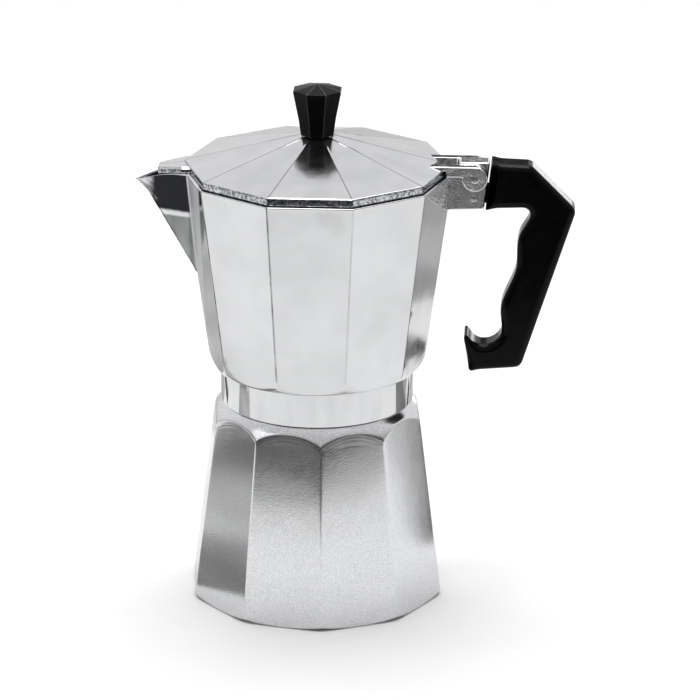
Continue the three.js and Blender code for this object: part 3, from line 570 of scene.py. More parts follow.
def plate_piece(name, outline, low_y, high_y, edge, step=0.4 * MM, edge_steps=7):
    """A plate between two faces across Y. The outline is [x, z]; row by row it steps in by
    edge * (1 - cos a) while y falls short of the face by edge * (1 - sin a)."""
    line = even_line(np.asarray(outline, float), step)
    normals = inward_normals(line)
    wide = np.minimum(edge, 0.85 * room_inside(line, normals))
    window = np.hanning(2 * int(0.5 * edge / step) + 3)
    wide = np.convolve(np.tile(wide, 3), window / window.sum(), "same")[len(wide) : 2 * len(wide)]
    a = np.linspace(0, math.pi / 2, edge_steps)
    rows = []
    for side, face in ((-1, low_y), (1, high_y)):
        steps = [(line, face - side * (wide + 0.2 * MM))]
        for t in a:
            stepped_in = line + normals * (wide * (1 - math.cos(t)))[:, None]
            steps.append((stepped_in, face - side * wide * (1 - math.sin(t))))
        for xz, y in steps[::-1] if side < 0 else steps:
            rows.append(np.stack([xz[:, 0], y, xz[:, 1]], -1))
    rows = np.array(rows)
    count = len(line)
    points = rows.reshape(-1, 3)
    sides = grid_faces(len(rows), count, False)
    if enclosed_volume(points, sides) < 0:
        sides = sides[:, ::-1]
    first, last = range(count), range(len(points) - count, len(points))
    mesh = mesh_from(name, points, sides.tolist() + [list(first), list(last)], find_outside=True)
    for face in mesh.polygons:
        if len(face.vertices) > 4:
            face.use_smooth = False
    return add_object(name, mesh)


def arc_points(centre, radius, start, end, steps=16):
    """Points on an arc in the XZ plane, from one angle to another, in degrees from +X towards +Z."""
    a = np.radians(np.linspace(start, end, steps))
    return [[centre[0] + radius * math.cos(t), centre[1] + radius * math.sin(t)] for t in a]


# %% [markdown]
# ## Bracket and hinge
# A short bracket is cast on behind the rim. The lid's two arms straddle it, a pin runs through all
# three, and the handle's tongue is riveted into it from behind.

# %% Bracket
pin_low, pin_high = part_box("hinge_pin")
hinge = ((pin_low.x + pin_high.x) / 2, (pin_low.z + pin_high.z) / 2)
rivet_low, rivet_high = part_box("handle_pin")
rivet = ((rivet_low.x + rivet_high.x) / 2, (rivet_low.z + rivet_high.z) / 2)
bracket_top, bracket_foot = hinge[1] + 5.6 * MM, hinge[1] - 13.5 * MM
bracket_back = hinge[0] + 5.8 * MM
bracket_half = 4 * MM
nose = 8 * MM
nose_start = 180 - math.degrees(math.asin((bracket_top - hinge[1]) / nose))
wall_x = collector_middle(bracket_foot) / facet_cosine
bracket_outline = rounded(
    [[bracket_back, bracket_top]]
    + arc_points(hinge, nose, nose_start, 180)
    + [
        [rim_corner - collector_wall, hinge[1]],
        [wall_x - 1.1 * MM, bracket_foot - 0.6 * MM],
        [bracket_back - 2.1 * MM, bracket_foot],
    ],
    [0.8 * MM] + [0] * 16 + [0.5 * MM, 0.5 * MM, 0.8 * MM],
    closed=True,
)
bracket = plate_piece("bracket", bracket_outline, -bracket_half, bracket_half, 0.6 * MM)
bracket_height = round((bracket_top - bracket_foot) * 1000, 1)
print("hinge at", [round(v * 1000, 2) for v in hinge], "mm, bracket", bracket_height, "mm high")

# %% Lid sizes
lid_z = rim_z + 0.3 * MM
lid_edge_z = lid_z + 3.1 * MM
lid_top_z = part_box("lid")[1].z
lid_corner, lid_flat = rim_corner - 1.16 * MM, 7 * MM
lid_slope = (lid_top_z - lid_edge_z) / (lid_corner - lid_flat)
lid_sheet = 1.6 * MM
lid_crown = 0.05 * MM  # fall of the little flat under the knob
knuckle, arm_half, slot_half = 5 * MM, 8.75 * MM, 4.4 * MM
arm_top = hinge[1] + knuckle
print("lid:", round((lid_top_z - lid_z) * 1000, 1), "mm high")

# %% Lid arms
arm_root = lid_corner - (arm_top - lid_edge_z) / lid_slope - 5 * MM
under_x = lid_corner - 1.7 * MM
arm_low = lid_z + 0.1 * MM
arm_line = [[arm_root, arm_top], [arm_root, arm_top - 0.3 * MM], [under_x, lid_edge_z - 0.8 * MM]]
arm_line += [[under_x, arm_low], [hinge[0] - 4.6 * MM, arm_low]]
arm_line += arc_points(hinge, knuckle, -180, 90, 40)
arm_outline = rounded(arm_line, [0, 0, 0, 0, 0.5 * MM] + [0] * 40, closed=True)
web_end = nose + 0.4 * MM
web_top = arm_top - 0.1 * MM
web_turn = 180 - math.degrees(math.asin((web_top - hinge[1]) / web_end))
web_outline = [[arm_root, web_top], [arm_root, arm_top - 0.4 * MM], [under_x, lid_edge_z - 0.8 * MM]]
web_outline += [[under_x, lid_z + 0.2 * MM]] + arc_points(hinge, web_end, 180 - 3.6, web_turn, 12)
arm_right = plate_piece("lid_arm_front", arm_outline, -arm_half, -slot_half, 0.6 * MM)
arm_left = plate_piece("lid_arm_back", arm_outline, slot_half, arm_half, 0.6 * MM)
arm_web = plate_piece("lid_arm_web", web_outline, -slot_half - 0.8 * MM, slot_half + 0.8 * MM, 0.2 * MM)

# %% [markdown]
# ## Lid
# The lid is a low ten-sided pyramid with an upright rim. Its facets meet in crisp radial edges.
# The sheet runs from the middle down to the rim, round its edge and back up on the inside.

# %% Lid shell
def lid_rows(angles):
    """Rows from the middle out. Each is a polygon, and its height falls evenly with its size."""
    flat, mid = lid_flat * facet_cosine, lid_corner * facet_cosine
    slope_mid, inner_mid = mid - 1.2 * MM, mid - 1.7 * MM
    inner_z = lid_edge_z - lid_sheet

    def polygon_row(middle, z, corner_edge):
        """One polygon, given by its inner radius, at one height."""
        return ring_rows(facet_radius(angles, middle, SIDES, 0, corner_edge), z, angles)

    def fallen(top, middle):
        """Height of a slope that starts at top, where the flat ends, at a polygon's inner radius."""
        return top - (middle - flat) / facet_cosine * lid_slope

    rows = [polygon_row(1e-6, lid_top_z, 1e-7)]
    for share in np.linspace(0.3, 1, 4):
        rows.append(polygon_row(flat * share, lid_top_z - lid_crown * share, 0.2 * MM))
    for middle in np.linspace(flat, slope_mid, 26)[1:]:
        rows.append(polygon_row(middle, fallen(lid_top_z - lid_crown, middle), 0.35 * MM))
    rim = rounded(
        [
            [slope_mid, fallen(lid_top_z - lid_crown, slope_mid)],
            [mid, lid_edge_z - 0.1 * MM],
            [mid, lid_z],
            [inner_mid, lid_z],
            [inner_mid, inner_z],
            [mid - 4 * MM, inner_z + 0.3 * MM],
        ],
        [0, 1 * MM, 0.5 * MM, 0.4 * MM, 0.8 * MM, 0],
        6,
    )
    for middle, z in rim[1:]:
        rows.append(polygon_row(middle, z, 0.9 * MM))
    for middle in np.linspace(mid - 4.2 * MM, flat, 14):
        rows.append(polygon_row(middle, fallen(lid_top_z - lid_sheet, middle), 0.5 * MM))
    rows.append(polygon_row(1e-6, lid_top_z - lid_sheet, 1e-7))
    return np.array(rows)


lid_angles = facet_angles(SIDES, 0, math.radians(1.2), 12, 8)
lid = grid_piece("lid_shell", lid_rows(lid_angles))


# %% Lid beak
def beak_rows():
    """Sections from under the lid outwards. Each is as wide as the spout under it, a box with
    chamfered top edges, and the last ones shrink to a rounded end."""
    under, end = -under_x + 3 * MM, -rim_corner - 9 * MM
    s = np.linspace(0, 1, 26)
    x = under + (end - under) * np.sin(s * math.pi / 2)
    out = np.clip((-rim_corner + 1 * MM - x) / (tip_x - rim_corner), 0, 1)
    end_round = 0.5 * MM
    into_end = np.clip((end + end_round - x) / end_round, 0, 1)
    blunt = end_round * (1 - np.sqrt(1 - into_end**2))
    half = 8.5 * MM - 8.1 * MM * out - blunt
    top = lid_edge_z - 0.9 * MM - 2.4 * MM * out - blunt
    low = lid_z - 0.2 * MM - lip_fall(out) + blunt
    rows = []
    for at, w, hi, lo in zip(x, half, top, low):
        side = hi - 0.8 * MM
        corners = [[-w, lo], [w, lo], [w, side], [w - 1 * MM, hi], [1 * MM - w, hi], [-w, side]]
        ring = rounded(corners, [0.1 * MM] * 2 + [0.3 * MM] * 4, 4, closed=True)
        rows.append(np.stack([at + 0 * ring[:, 0], ring[:, 0], ring[:, 1]], -1))
    rows = np.array(rows)
    ends = [row.mean(0) + 0 * row for row in (rows[0], rows[-1])]
    return np.concatenate([[ends[0]], rows, [ends[1]]])


beak = grid_piece("lid_beak", beak_rows())

# %% [markdown]
# ## Knob
# The knob is an eight-sided plastic cup that widens to its rim, with a low pyramid on top. A screw
# and a washer hold it from under the lid.

# %% Knob
knob_low, knob_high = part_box("knob")
KNOB_SIDES = 8
knob_first = math.pi / KNOB_SIDES


def knob_rows(angles):
    """Rows of an octagon whose size follows a curved profile, with a crisp rim."""
    foot, rim = knob_low.z, knob_low.z + 18 * MM
    profile = rounded(
        [
            [0, foot],
            [6.9 * MM, foot],
            [7.8 * MM, foot + 6.3 * MM],
            [10.2 * MM, rim - 0.2 * MM],
            [9.9 * MM, rim + 0.15 * MM],
            [0.6 * MM, knob_high.z],
            [0, knob_high.z],
        ],
        [0, 0.5 * MM, 14 * MM, 0.35 * MM, 0.35 * MM, 0.5 * MM, 0],
        7,
    )
    rows = []
    for a, b in zip(profile[:-1], profile[1:]):
        for r, z in np.linspace(a, b, 5, endpoint=False):
            middle = max(r * math.cos(math.pi / KNOB_SIDES), 1e-6)
            corner = min(0.55 * MM, r * 0.3 + 1e-7)
            radius = facet_radius(angles, middle, KNOB_SIDES, knob_first, corner)
            rows.append(ring_rows(radius, z, angles))
    return np.array(rows)


knob = grid_piece("knob_body", knob_rows(facet_angles(KNOB_SIDES, knob_first, math.radians(4), 10, 8)))

# %% [markdown]
# ## Handle
# The handle is one moulding, thirteen millimetres thick, with generous rounded edges: a straight
# top, a slanted back, and an inner side shaped for fingers that ends in a small hook.

# %% Handle
def bezier(points, steps=16):
    """Points on a quadratic or cubic curve, by repeated interpolation between its control points."""
    t = np.linspace(0, 1, steps, endpoint=False)[:, None, None]
    level = np.broadcast_to(np.asarray(points, float), (steps, len(points), 2))
    while level.shape[1] > 1:
        level = level[:, :-1] * (1 - t) + level[:, 1:] * t
    return level[:, 0]


def handle_outline():
    """The side view as (out, down) in millimetres from the bracket's top outer corner. Each curve
    starts where the last one ended."""
    start = (0.6, 0)
    bends = [
        [(14.4, 0.5)],
        [(16.2, 0.6), (17.6, 2)],
        [(32.6, 17)],
        [(34.2, 18.8), (33.4, 21.2)],
        [(14.2, 82)],
        [(13.3, 84.4), (10.8, 84.6)],
        [(-5.6, 86)],
        [(-7.2, 86), (-7.3, 84.4)],
        [(-9.2, 72.4)],
        [(-9.2, 70), (-7.6, 71.2)],
        [(-4.6, 76.8), (3, 76), (5.4, 70.4)],
        [(6.2, 67), (4.8, 63.4), (5.2, 59.6)],
        [(5.8, 53.4), (11, 47.4), (11.2, 40.6)],
        [(11.2, 37), (10.8, 31.4), (12.6, 27.8)],
        [(14, 25.2), (16.2, 22.6), (16, 20.4)],
        [(15.6, 18.2), (13, 18)],
        [(-1.5, 18.6)],
        [start],
    ]
    curves = []
    for bend in bends:
        curves.append(bezier([start, *bend]))
        start = bend[-1]
    line = np.concatenate(curves) * MM
    return np.stack([bracket_back + line[:, 0], bracket_top - line[:, 1]], -1)


handle_half = 6.5 * MM
handle = plate_piece("handle_grip", handle_outline(), -handle_half, handle_half, 3 * MM, 0.5 * MM, 11)
tongue_low, tongue_high = bracket_foot + 2.1 * MM, bracket_foot + 9.5 * MM
tongue_end, tongue_root = bracket_back - 12.7 * MM, bracket_back + 4 * MM
tongue_outline = [[tongue_end, tongue_low], [tongue_root, tongue_low]]
tongue_outline += [[tongue_root, tongue_high], [tongue_end, tongue_high]]
tongue = plate_piece("handle_tongue", tongue_outline, -1.8 * MM, 1.8 * MM, 0.3 * MM)
handle_end = max(point.co.x for point in handle.data.vertices)
handle_foot = min(point.co.z for point in handle.data.vertices)
print("handle reaches", round(handle_end * 1000, 1), "mm and down to", round(handle_foot * 1000, 1), "mm")

# %% [markdown]
# ## Pins
# The hinge pin and the rivet are short steel bars with peened ends.

# %% Pins
def bar_piece(name, radius, half, dome, x, z):
    """A bar along Y, turned from a profile with rounded and slightly domed ends."""
    end = [[0, half + dome], [radius * 0.6, half + dome * 0.7], [radius, half], [radius, 0]]
    end = rounded(end, radius * 0.25)
    profile = np.concatenate([end, end[::-1] * [1, -1]])
    rows = turned_rows(profile, round_angles[::2])
    return grid_piece(name, moved(rows, (x, 0, z), (0, 1, 0)))


hinge_pin = bar_piece("hinge_bar", 1.9 * MM, arm_half - 0.1 * MM, 0.4 * MM, *hinge)
rivet_bar = bar_piece("handle_rivet", 1.5 * MM, bracket_half + 0.1 * MM, 0.35 * MM, *rivet)

# %% [markdown]
# ## Safety valve
# A brass valve is screwed into a facet behind the pot: a hexagon with chamfered corners, a round
# cap in it, and the end of the stem that lifts when the pressure is too high.

# %% Valve
valve_height = 56 * MM
valve_bearing = boiler_first + 5.5 * TAU / SIDES  # the middle of a facet behind the pot
valve_tilt = math.atan((boiler_middle(foot_edge) - boiler_middle(facets_top)) / (facets_top - foot_edge))
bearing_x, bearing_y = math.cos(valve_bearing), math.sin(valve_bearing)
valve_way = Vector((bearing_x, bearing_y, math.tan(valve_tilt))).normalized()
facet_middle = boiler_middle(valve_height)
valve_at = (bearing_x * facet_middle, bearing_y * facet_middle, valve_height)


def valve_rows(profile, angles, flats=None):
    """Rows along the valve's axis. With flats, each row is cut to a hexagon of that inner radius."""
    profile = np.asarray(profile, float)
    radius = profile[:, :1] + 0 * angles
    if flats:
        radius = soft_min(radius, facet_radius(angles, flats, 6, 0, 0.3 * MM), 0.15 * MM)
    return moved(ring_rows(radius, profile[:, 1:], angles), valve_at, valve_way)


hex_angles = facet_angles(6, 0, math.radians(3), 12, 6)
valve_line = [(0, -4), (4.5, -4), (4.5, 1.55), (5.4, 1.6), (6.2, 2.1), (6.2, 4.1)]
valve_line += [(5.2, 4.6), (3.4, 4.6), (2.9, 4.2), (2.9, 3), (0, 3)]
valve_profile = rounded(np.array(valve_line) * MM, 0.15 * MM)
valve_hex = grid_piece("valve_hexagon", valve_rows(valve_profile, hex_angles, 5.2 * MM))
cap_line = np.array([(1.3, 3), (2.6, 3), (2.6, 4.6), (1.3, 4.6)]) * MM
cap_profile = rounded(cap_line, 0.2 * MM, closed=True)
valve_disc = grid_piece("valve_disc", valve_rows(cap_profile, round_angles[::2]), loop=True)
stem_profile = rounded(np.array([(0, -2), (0.9, -2), (0.9, 6.2), (0, 6.2)]) * MM, 0.3 * MM)
valve_pin = grid_piece("valve_pin", valve_rows(stem_profile, round_angles[::4]))
washer_line = np.array([(4.6, 0.2), (5.8, 0.2), (5.8, 1.4), (4.6, 1.4)]) * MM
washer_profile = rounded(washer_line, 0.3 * MM, closed=True)
valve_ring = grid_piece("valve_ring", valve_rows(washer_profile, round_angles[::2]), loop=True)

# %% [markdown]
# ## Finishes
# Every finish is worked out from the object's own coordinates, so it stays on the piece when the
# lid opens. Polished aluminium is a near mirror with a faint haze and faint ripples; the boiler is
# left as a satin casting with a fine grain; turned faces carry rings from the lathe.

# %% Finish helpers
class Finish:
    """A Principled material and short ways to add the usual nodes to it."""

    def __init__(self, name, colour, metallic=0.0, roughness=0.4, gloss=0.5):
        self.material = bpy.data.materials.new(name)
        self.material.use_nodes = True
        self.nodes = self.material.node_tree.nodes
        self.links = self.material.node_tree.links
        self.shader = self.nodes["Principled BSDF"]
        self.shader.inputs["Base Color"].default_value = (*colour, 1)
        self.shader.inputs["Metallic"].default_value = metallic
        self.shader.inputs["Roughness"].default_value = roughness
        self.shader.inputs["Specular IOR Level"].default_value = gloss
        coordinates = self.nodes.new("ShaderNodeTexCoord")
        self.place, self.facing = coordinates.outputs["Object"], coordinates.outputs["Normal"]
        self.normal = None

    def stretched(self, scale):
        """Object coordinates, stretched by one factor along each axis."""
        node = self.nodes.new("ShaderNodeMapping")
        node.inputs["Scale"].default_value = scale
        self.links.new(self.place, node.inputs["Vector"])
        return node.outputs["Vector"]

    def noise(self, size, detail=3.0, stretch=(1, 1, 1)):
        """Cloudy noise from 0 to 1 whose lumps are about size across."""
        node = self.nodes.new("ShaderNodeTexNoise")
        node.inputs["Scale"].default_value = 1 / size
        node.inputs["Detail"].default_value = detail
        self.links.new(self.stretched(stretch), node.inputs["Vector"])
        return node.outputs["Fac"]

    def ramp(self, value, low, high, to_low, to_high):
        """Carries a value from one range onto another and stops at its ends."""
        node = self.nodes.new("ShaderNodeMapRange")
        keys = ("From Min", "From Max", "To Min", "To Max")
        for key, number in zip(keys, (low, high, to_low, to_high)):
            node.inputs[key].default_value = number
        self.links.new(value, node.inputs["Value"])
        return node.outputs["Result"]

    def maths(self, operation, a, b=None):
        """One sum on values or numbers."""
        node = self.nodes.new("ShaderNodeMath")
        node.operation = operation
        for socket, value in zip(node.inputs, (a, b)):
            if value is None:
                continue
            if isinstance(value, (int, float)):
                socket.default_value = value
            else:
                self.links.new(value, socket)
        return node.outputs["Value"]

    def plus(self, a, b):
        """The sum of two values or numbers."""
        return self.maths("ADD", a, b)

    def times(self, *values):
        """The product of values and numbers."""
        product = values[0]
        for value in values[1:]:
            product = self.maths("MULTIPLY", product, value)
        return product

    def clouds(self, size, low=0, high=1, detail=3.0, spread=0.15):
        """Noise carried onto low to high. A smaller spread makes its patches crisper."""
        return self.ramp(self.noise(size, detail), 0.5 - spread, 0.5 + spread, low, high)

    def part(self, axis, vector=None):
        """X, Y or Z of the object's coordinates, or of another vector."""
        node = self.nodes.new("ShaderNodeSeparateXYZ")
        self.links.new(vector or self.place, node.inputs["Vector"])
        return node.outputs[axis]

    def from_axis(self):
        """Distance from the pot's axis."""
        x, y = self.part("X"), self.part("Y")
        return self.maths("SQRT", self.plus(self.maths("POWER", x, 2.0), self.maths("POWER", y, 2.0)))

    def over(self, under, share, colour):
        """A colour laid by a share over another, which is three numbers or a socket."""
        node = self.nodes.new("ShaderNodeMix")
        node.data_type = "RGBA"
        if isinstance(under, tuple):
            node.inputs["A"].default_value = (*under, 1)
        else:
            self.links.new(under, node.inputs["A"])
        node.inputs["B"].default_value = (*colour, 1)
        self.links.new(share, node.inputs["Factor"])
        return node.outputs["Result"]

    def colour(self, tone):
        """Takes the surface's colour from a socket."""
        self.links.new(tone, self.shader.inputs["Base Color"])

    def rough(self, value):
        """Takes the roughness from a socket."""
        self.links.new(value, self.shader.inputs["Roughness"])

    def bump(self, height, depth, share=1.0):
        """Adds relief of a depth in metres to what is there already."""
        node = self.nodes.new("ShaderNodeBump")
        node.inputs["Distance"].default_value = depth
        if isinstance(share, (int, float)):
            node.inputs["Strength"].default_value = share
        else:
            self.links.new(share, node.inputs["Strength"])
        self.links.new(height, node.inputs["Height"])
        if self.normal:
            self.links.new(self.normal, node.inputs["Normal"])
        self.normal = node.outputs["Normal"]
        self.links.new(self.normal, self.shader.inputs["Normal"])


# %% Aluminium finishes
def band(f, low, high, soft):
    """1 between two heights on the pot and 0 outside them, over a soft edge."""
    z = f.part("Z")
    up = f.ramp(z, low - soft, low + soft, 0, 1)
    down = f.ramp(z, high - soft, high + soft, 1, 0)
    return f.times(up, down)


def lathe_rings(f, size):
    """Fine rings round the axis, read along the height and the radius together."""
    along = f.plus(f.part("Z"), f.times(f.from_axis(), 1.7))
    node = f.nodes.new("ShaderNodeTexNoise")
    node.noise_dimensions = "1D"
    node.inputs["Scale"].default_value = 1 / size
    node.inputs["Detail"].default_value = 4
    f.links.new(along, node.inputs["W"])
    return node.outputs["Fac"]


def edge_line(f, sides, first, width):
    """1 on a thin line along each corner of the facets: the bearing is folded into half a facet, and
    its distance from the corner is measured across."""
    bearing = f.maths("ARCTAN2", f.part("Y"), f.part("X"))
    folded = f.maths("PINGPONG", f.plus(bearing, TAU - first), math.pi / sides)
    return f.ramp(f.times(folded, f.from_axis()), 0.3 * width, width, 1, 0)


def spout_painted_reflection(f, tone):
    """Painted reflection on the spout's flanks: nearly black down to a line, then a pale strip, then
    grey. The black stops short of the lip and, less sharply, of the tip. Inside the spout it is
    painted shade that covers everything, and there the normal points back at the middle plane."""
    x, z = f.part("X"), f.part("Z")
    crease_x, crease_lean = 50.9 * MM, 0.065
    black_low, black_gone, grey_start, grey_full = 16.2 * MM, 17.4 * MM, 18.6 * MM, 19.4 * MM
    down = f.maths("SUBTRACT", rim_z, z)
    along = f.maths("POWER", f.ramp(x, -rim_corner, -tip_x, 0, 1), 1.7)
    lip = f.maths("SUBTRACT", down, f.times(along, tip_drop))
    uneven = f.times(f.maths("SUBTRACT", f.noise(2.5 * MM, 3), 0.5), 6 * MM)
    crease = f.plus(x, f.maths("SUBTRACT", crease_x, f.times(down, crease_lean)))
    flank = f.ramp(crease, 0.1 * MM, -0.3 * MM, 0, 1)
    inner = f.ramp(f.times(f.part("Y"), f.part("Y", f.facing)), -0.02 * MM, -0.1 * MM, 0, 1)
    under_lip = f.ramp(lip, 0.4 * MM, 0.7 * MM, 0, 1)
    line = f.plus(down, f.times(uneven, 0.1))
    near_tip = f.ramp(f.plus(x, uneven), -68 * MM, -64 * MM, 0, 1)
    upper = f.times(f.ramp(line, black_low, black_gone, 1, 0), near_tip)
    black = f.times(f.maths("MAXIMUM", upper, inner), under_lip, flank)
    fading = f.ramp(down, 30 * MM, 46 * MM, 0.95, 0.6)
    lower = f.times(f.ramp(line, grey_start, grey_full, 0, 1), fading)
    grey = f.times(lower, flank, f.ramp(f.noise(5 * MM, 2, (1, 1, 0.3)), 0.3, 0.7, 0.8, 1))
    # The grey below and the near-black band above it are painted reflection; the black inside the spout
    # is painted shade.
    tone = f.over(tone, grey, (0.24, 0.26, 0.255))
    return f.over(tone, f.times(black, 0.97), (0.02, 0.021, 0.026))


def collector_finish():
    """Polished outside, turned collar, and a duller inside."""
    f = Finish("polished_aluminium", (0.9, 0.905, 0.915), 1.0, 0.1)
    above_floor = f.ramp(f.part("Z"), floor_z - 1 * MM, floor_z, 0, 1)
    inside = f.times(f.ramp(f.from_axis(), 40 * MM, 41 * MM, 1, 0), above_floor)
    collar = band(f, collar_bottom, collar_top + 0.4 * MM, 0.3 * MM)
    haze = f.clouds(9 * MM, 0.07, 0.13, spread=0.2)
    x = f.part("X")
    beside_spout = f.times(f.ramp(x, -44 * MM, -45 * MM, 0, 1), f.ramp(x, -50.9 * MM, -50.4 * MM, 0, 1))
    dull = f.maths("MAXIMUM", f.times(inside, 0.25), f.times(beside_spout, 0.4))
    f.rough(f.plus(haze, f.maths("SUBTRACT", dull, f.times(collar, 0.03))))
    tone = f.over((0.79, 0.795, 0.8), f.clouds(14 * MM, detail=2), (0.84, 0.845, 0.85))
    # Painted dark reflection along the facet corners above the foot, patchy and heavier on the left than
    # on the right.
    faceted = f.ramp(f.part("Z"), collar_top + 5 * MM, collar_top + 7 * MM, 0, 1)
    line = f.times(edge_line(f, SIDES, 0, 0.5 * MM), faceted)
    painted_edge_reflection_share = f.times(f.ramp(f.noise(9 * MM, 3), 0.4, 0.6, 0.5, 1), f.ramp(x, -28 * MM, 12 * MM, 1, 0.3))
    tone = f.over(tone, f.times(line, painted_edge_reflection_share), (0.08, 0.08, 0.09))
    # The spout's flanks get a painted dark reflection, and its inside painted shade.
    f.colour(spout_painted_reflection(f, tone))
    f.bump(f.noise(16 * MM, 1), 0.06 * MM)
    f.bump(lathe_rings(f, 0.5 * MM), 0.004 * MM, collar)
    return f.material


def lid_finish():
    """Polished like the collector, with a hammered rim. The rim carries painted dark reflection specks
    and the ridges painted dark reflection lines.
    """
    f = Finish("lid_aluminium", (0.9, 0.905, 0.915), 1.0, 0.12)
    rim = f.ramp(f.part("Z", f.facing), 0.5, 0.85, 1, 0)
    f.rough(f.plus(f.clouds(7 * MM, 0.1, 0.17, spread=0.2), f.times(rim, 0.05)))
    tone = f.over((0.78, 0.785, 0.79), f.clouds(11 * MM, detail=2), (0.84, 0.845, 0.85))
    # Painted dark reflection along the ridges between the facets.
    painted_ridge_reflection = edge_line(f, SIDES, 0, 0.45 * MM)
    tone = f.over(tone, f.times(painted_ridge_reflection, 0.6), (0.25, 0.25, 0.26))
    # Painted dark blue-grey reflection specks on the upright rim.
    painted_rim_reflection = f.ramp(f.noise(0.9 * MM, 3), 0.4, 0.58, 1, 0)
    tone = f.over(tone, f.times(painted_rim_reflection, rim, 0.8), (0.12, 0.135, 0.17))
    f.colour(tone)
    f.bump(f.noise(13 * MM, 1), 0.05 * MM)
    f.bump(f.noise(1.1 * MM, 2), 0.07 * MM, rim)
    f.bump(edge_line(f, SIDES, 0, 1 * MM), 0.12 * MM, f.ramp(f.from_axis(), 14 * MM, 24 * MM, 1, 0))
    return f.material


def cast_finish():
    """Satin casting with a fine grain, and turned rings on the shoulder."""
    f = Finish("cast_aluminium", (0.86, 0.865, 0.87), 1.0, 0.26)
    shoulder = band(f, facets_top - 1 * MM, shoulder_top + 1 * MM, 1 * MM)
    grain = f.noise(0.4 * MM, 2)
    f.rough(f.plus(f.clouds(6 * MM, 0.08, 0.11, detail=2, spread=0.2), f.times(shoulder, 0.05)))
    f.colour(f.over((0.74, 0.745, 0.755), f.ramp(grain, 0.38, 0.62, 0, 1), (0.97, 0.975, 0.98)))
    f.bump(grain, 0.018 * MM, f.maths("SUBTRACT", 1.0, f.times(shoulder, 0.7)))
    f.bump(f.noise(18 * MM, 1), 0.05 * MM)
    f.bump(lathe_rings(f, 0.9 * MM), 0.02 * MM, shoulder)
    return f.material


def rough_cast_finish():
    """A casting that was only tumbled: small hollows in relief and a speckled tone, with dark pits whose
    painted shade grows towards the lid as the arm's painted shadow.
    """
    f = Finish("rough_cast_aluminium", (0.84, 0.845, 0.85), 1.0, 0.2)
    f.rough(f.clouds(1.5 * MM, 0.12, 0.24, detail=4, spread=0.2))
    tone = f.over((0.8, 0.805, 0.81), f.clouds(1 * MM, detail=3), (0.95, 0.955, 0.96))
    # Dark pits with painted shade in them, denser towards the lid where the arm's painted shadow falls.
    pits_and_painted_shade = f.ramp(f.noise(0.9 * MM, 3), 0.6, 0.66, 0, 0.75)
    painted_arm_shadow = f.ramp(f.part("X"), 60 * MM, 53 * MM, 0.15, 1)
    tone = f.over(tone, f.times(pits_and_painted_shade, painted_arm_shadow), (0.12, 0.125, 0.14))
    f.colour(tone)
    f.bump(f.noise(0.8 * MM, 2), 0.05 * MM)
    return f.material


def arm_finish():
    """Wheel-polished sides with a little of the casting's grain left."""
    f = Finish("arm_aluminium", (0.84, 0.845, 0.85), 1.0, 0.12)
    f.rough(f.clouds(3 * MM, 0.1, 0.2, detail=2, spread=0.2))
    f.colour(f.over((0.75, 0.755, 0.765), f.clouds(0.8 * MM, detail=3), (0.93, 0.935, 0.94)))
    f.bump(f.noise(0.7 * MM, 2), 0.016 * MM)
    f.bump(f.noise(6 * MM, 1), 0.05 * MM)
    return f.material


def sheet_finish():
    """Pressed aluminium sheet, matt, with faint rings."""
    f = Finish("sheet_aluminium", (0.82, 0.825, 0.83), 1.0, 0.35)
    f.rough(f.clouds(4 * MM, 0.3, 0.42, spread=0.2))
    f.colour(f.over((0.78, 0.785, 0.79), f.clouds(6 * MM), (0.87, 0.875, 0.88)))
    f.bump(lathe_rings(f, 0.6 * MM), 0.02 * MM)
    return f.material


# %% Other finishes
def bar_metal(name, dark, light, low_rough, high_rough):
    """Turned brass or steel: a little uneven in tone and sheen."""
    f = Finish(name, light, 1.0, 0.3)
    f.rough(f.clouds(1.2 * MM, low_rough, high_rough, detail=4, spread=0.2))
    f.colour(f.over(dark, f.clouds(2 * MM, detail=3), light))
    f.bump(f.noise(0.5 * MM, 3), 0.02 * MM)
    return f.material


def rubber_finish():
    """Pale silicone, matt and a little mottled."""
    f = Finish("silicone", (0.8, 0.78, 0.72), 0, 0.6)
    f.colour(f.over((0.76, 0.74, 0.68), f.clouds(3 * MM, spread=0.2), (0.84, 0.82, 0.77)))
    f.rough(f.clouds(0.8 * MM, 0.5, 0.7, spread=0.2))
    f.bump(f.noise(0.4 * MM), 0.02 * MM)
    return f.material


def plastic_finish(name, low_rough, high_rough, grain_depth, sides=None):
    """Black moulded plastic: a fine texture from the mould and an uneven sheen, with painted highlight
    lines along the corners of a piece with sides."""
    f = Finish(name, (0.004, 0.004, 0.005), 0, 0.3, 0.2)
    tone = f.over((0.002, 0.002, 0.0025), f.clouds(6 * MM, spread=0.2), (0.005, 0.005, 0.0055))
    if sides:
        # Painted highlight lines along the corners of a piece with sides.
        tone = f.over(tone, edge_line(f, sides, math.pi / sides, 0.4 * MM), (0.06, 0.06, 0.065))
    f.colour(tone)
    f.rough(f.clouds(3 * MM, low_rough, high_rough, detail=4, spread=0.2))
    f.bump(f.noise(0.35 * MM, 3), grain_depth)
    return f.material


polished, lid_skin, cast = collector_finish(), lid_finish(), cast_finish()
rough_cast, arm_skin, sheet = rough_cast_finish(), arm_finish(), sheet_finish()
brass = bar_metal("brass", (0.55, 0.36, 0.14), (0.78, 0.56, 0.27), 0.18, 0.34)
steel = bar_metal("steel", (0.5, 0.5, 0.51), (0.72, 0.72, 0.73), 0.2, 0.36)
silicone = rubber_finish()
knob_plastic = plastic_finish("knob_plastic", 0.22, 0.34, 0.012 * MM, 8)
handle_plastic = plastic_finish("handle_plastic", 0.14, 0.22, 0.004 * MM)

# %% [markdown]
# ## Putting the pieces on their bodies
# Each new piece rides on the CAD body that it belongs to and stands for the CAD nodes in its
# place. Nodes that are hidden inside the pot keep their CAD mesh and only get a finish.

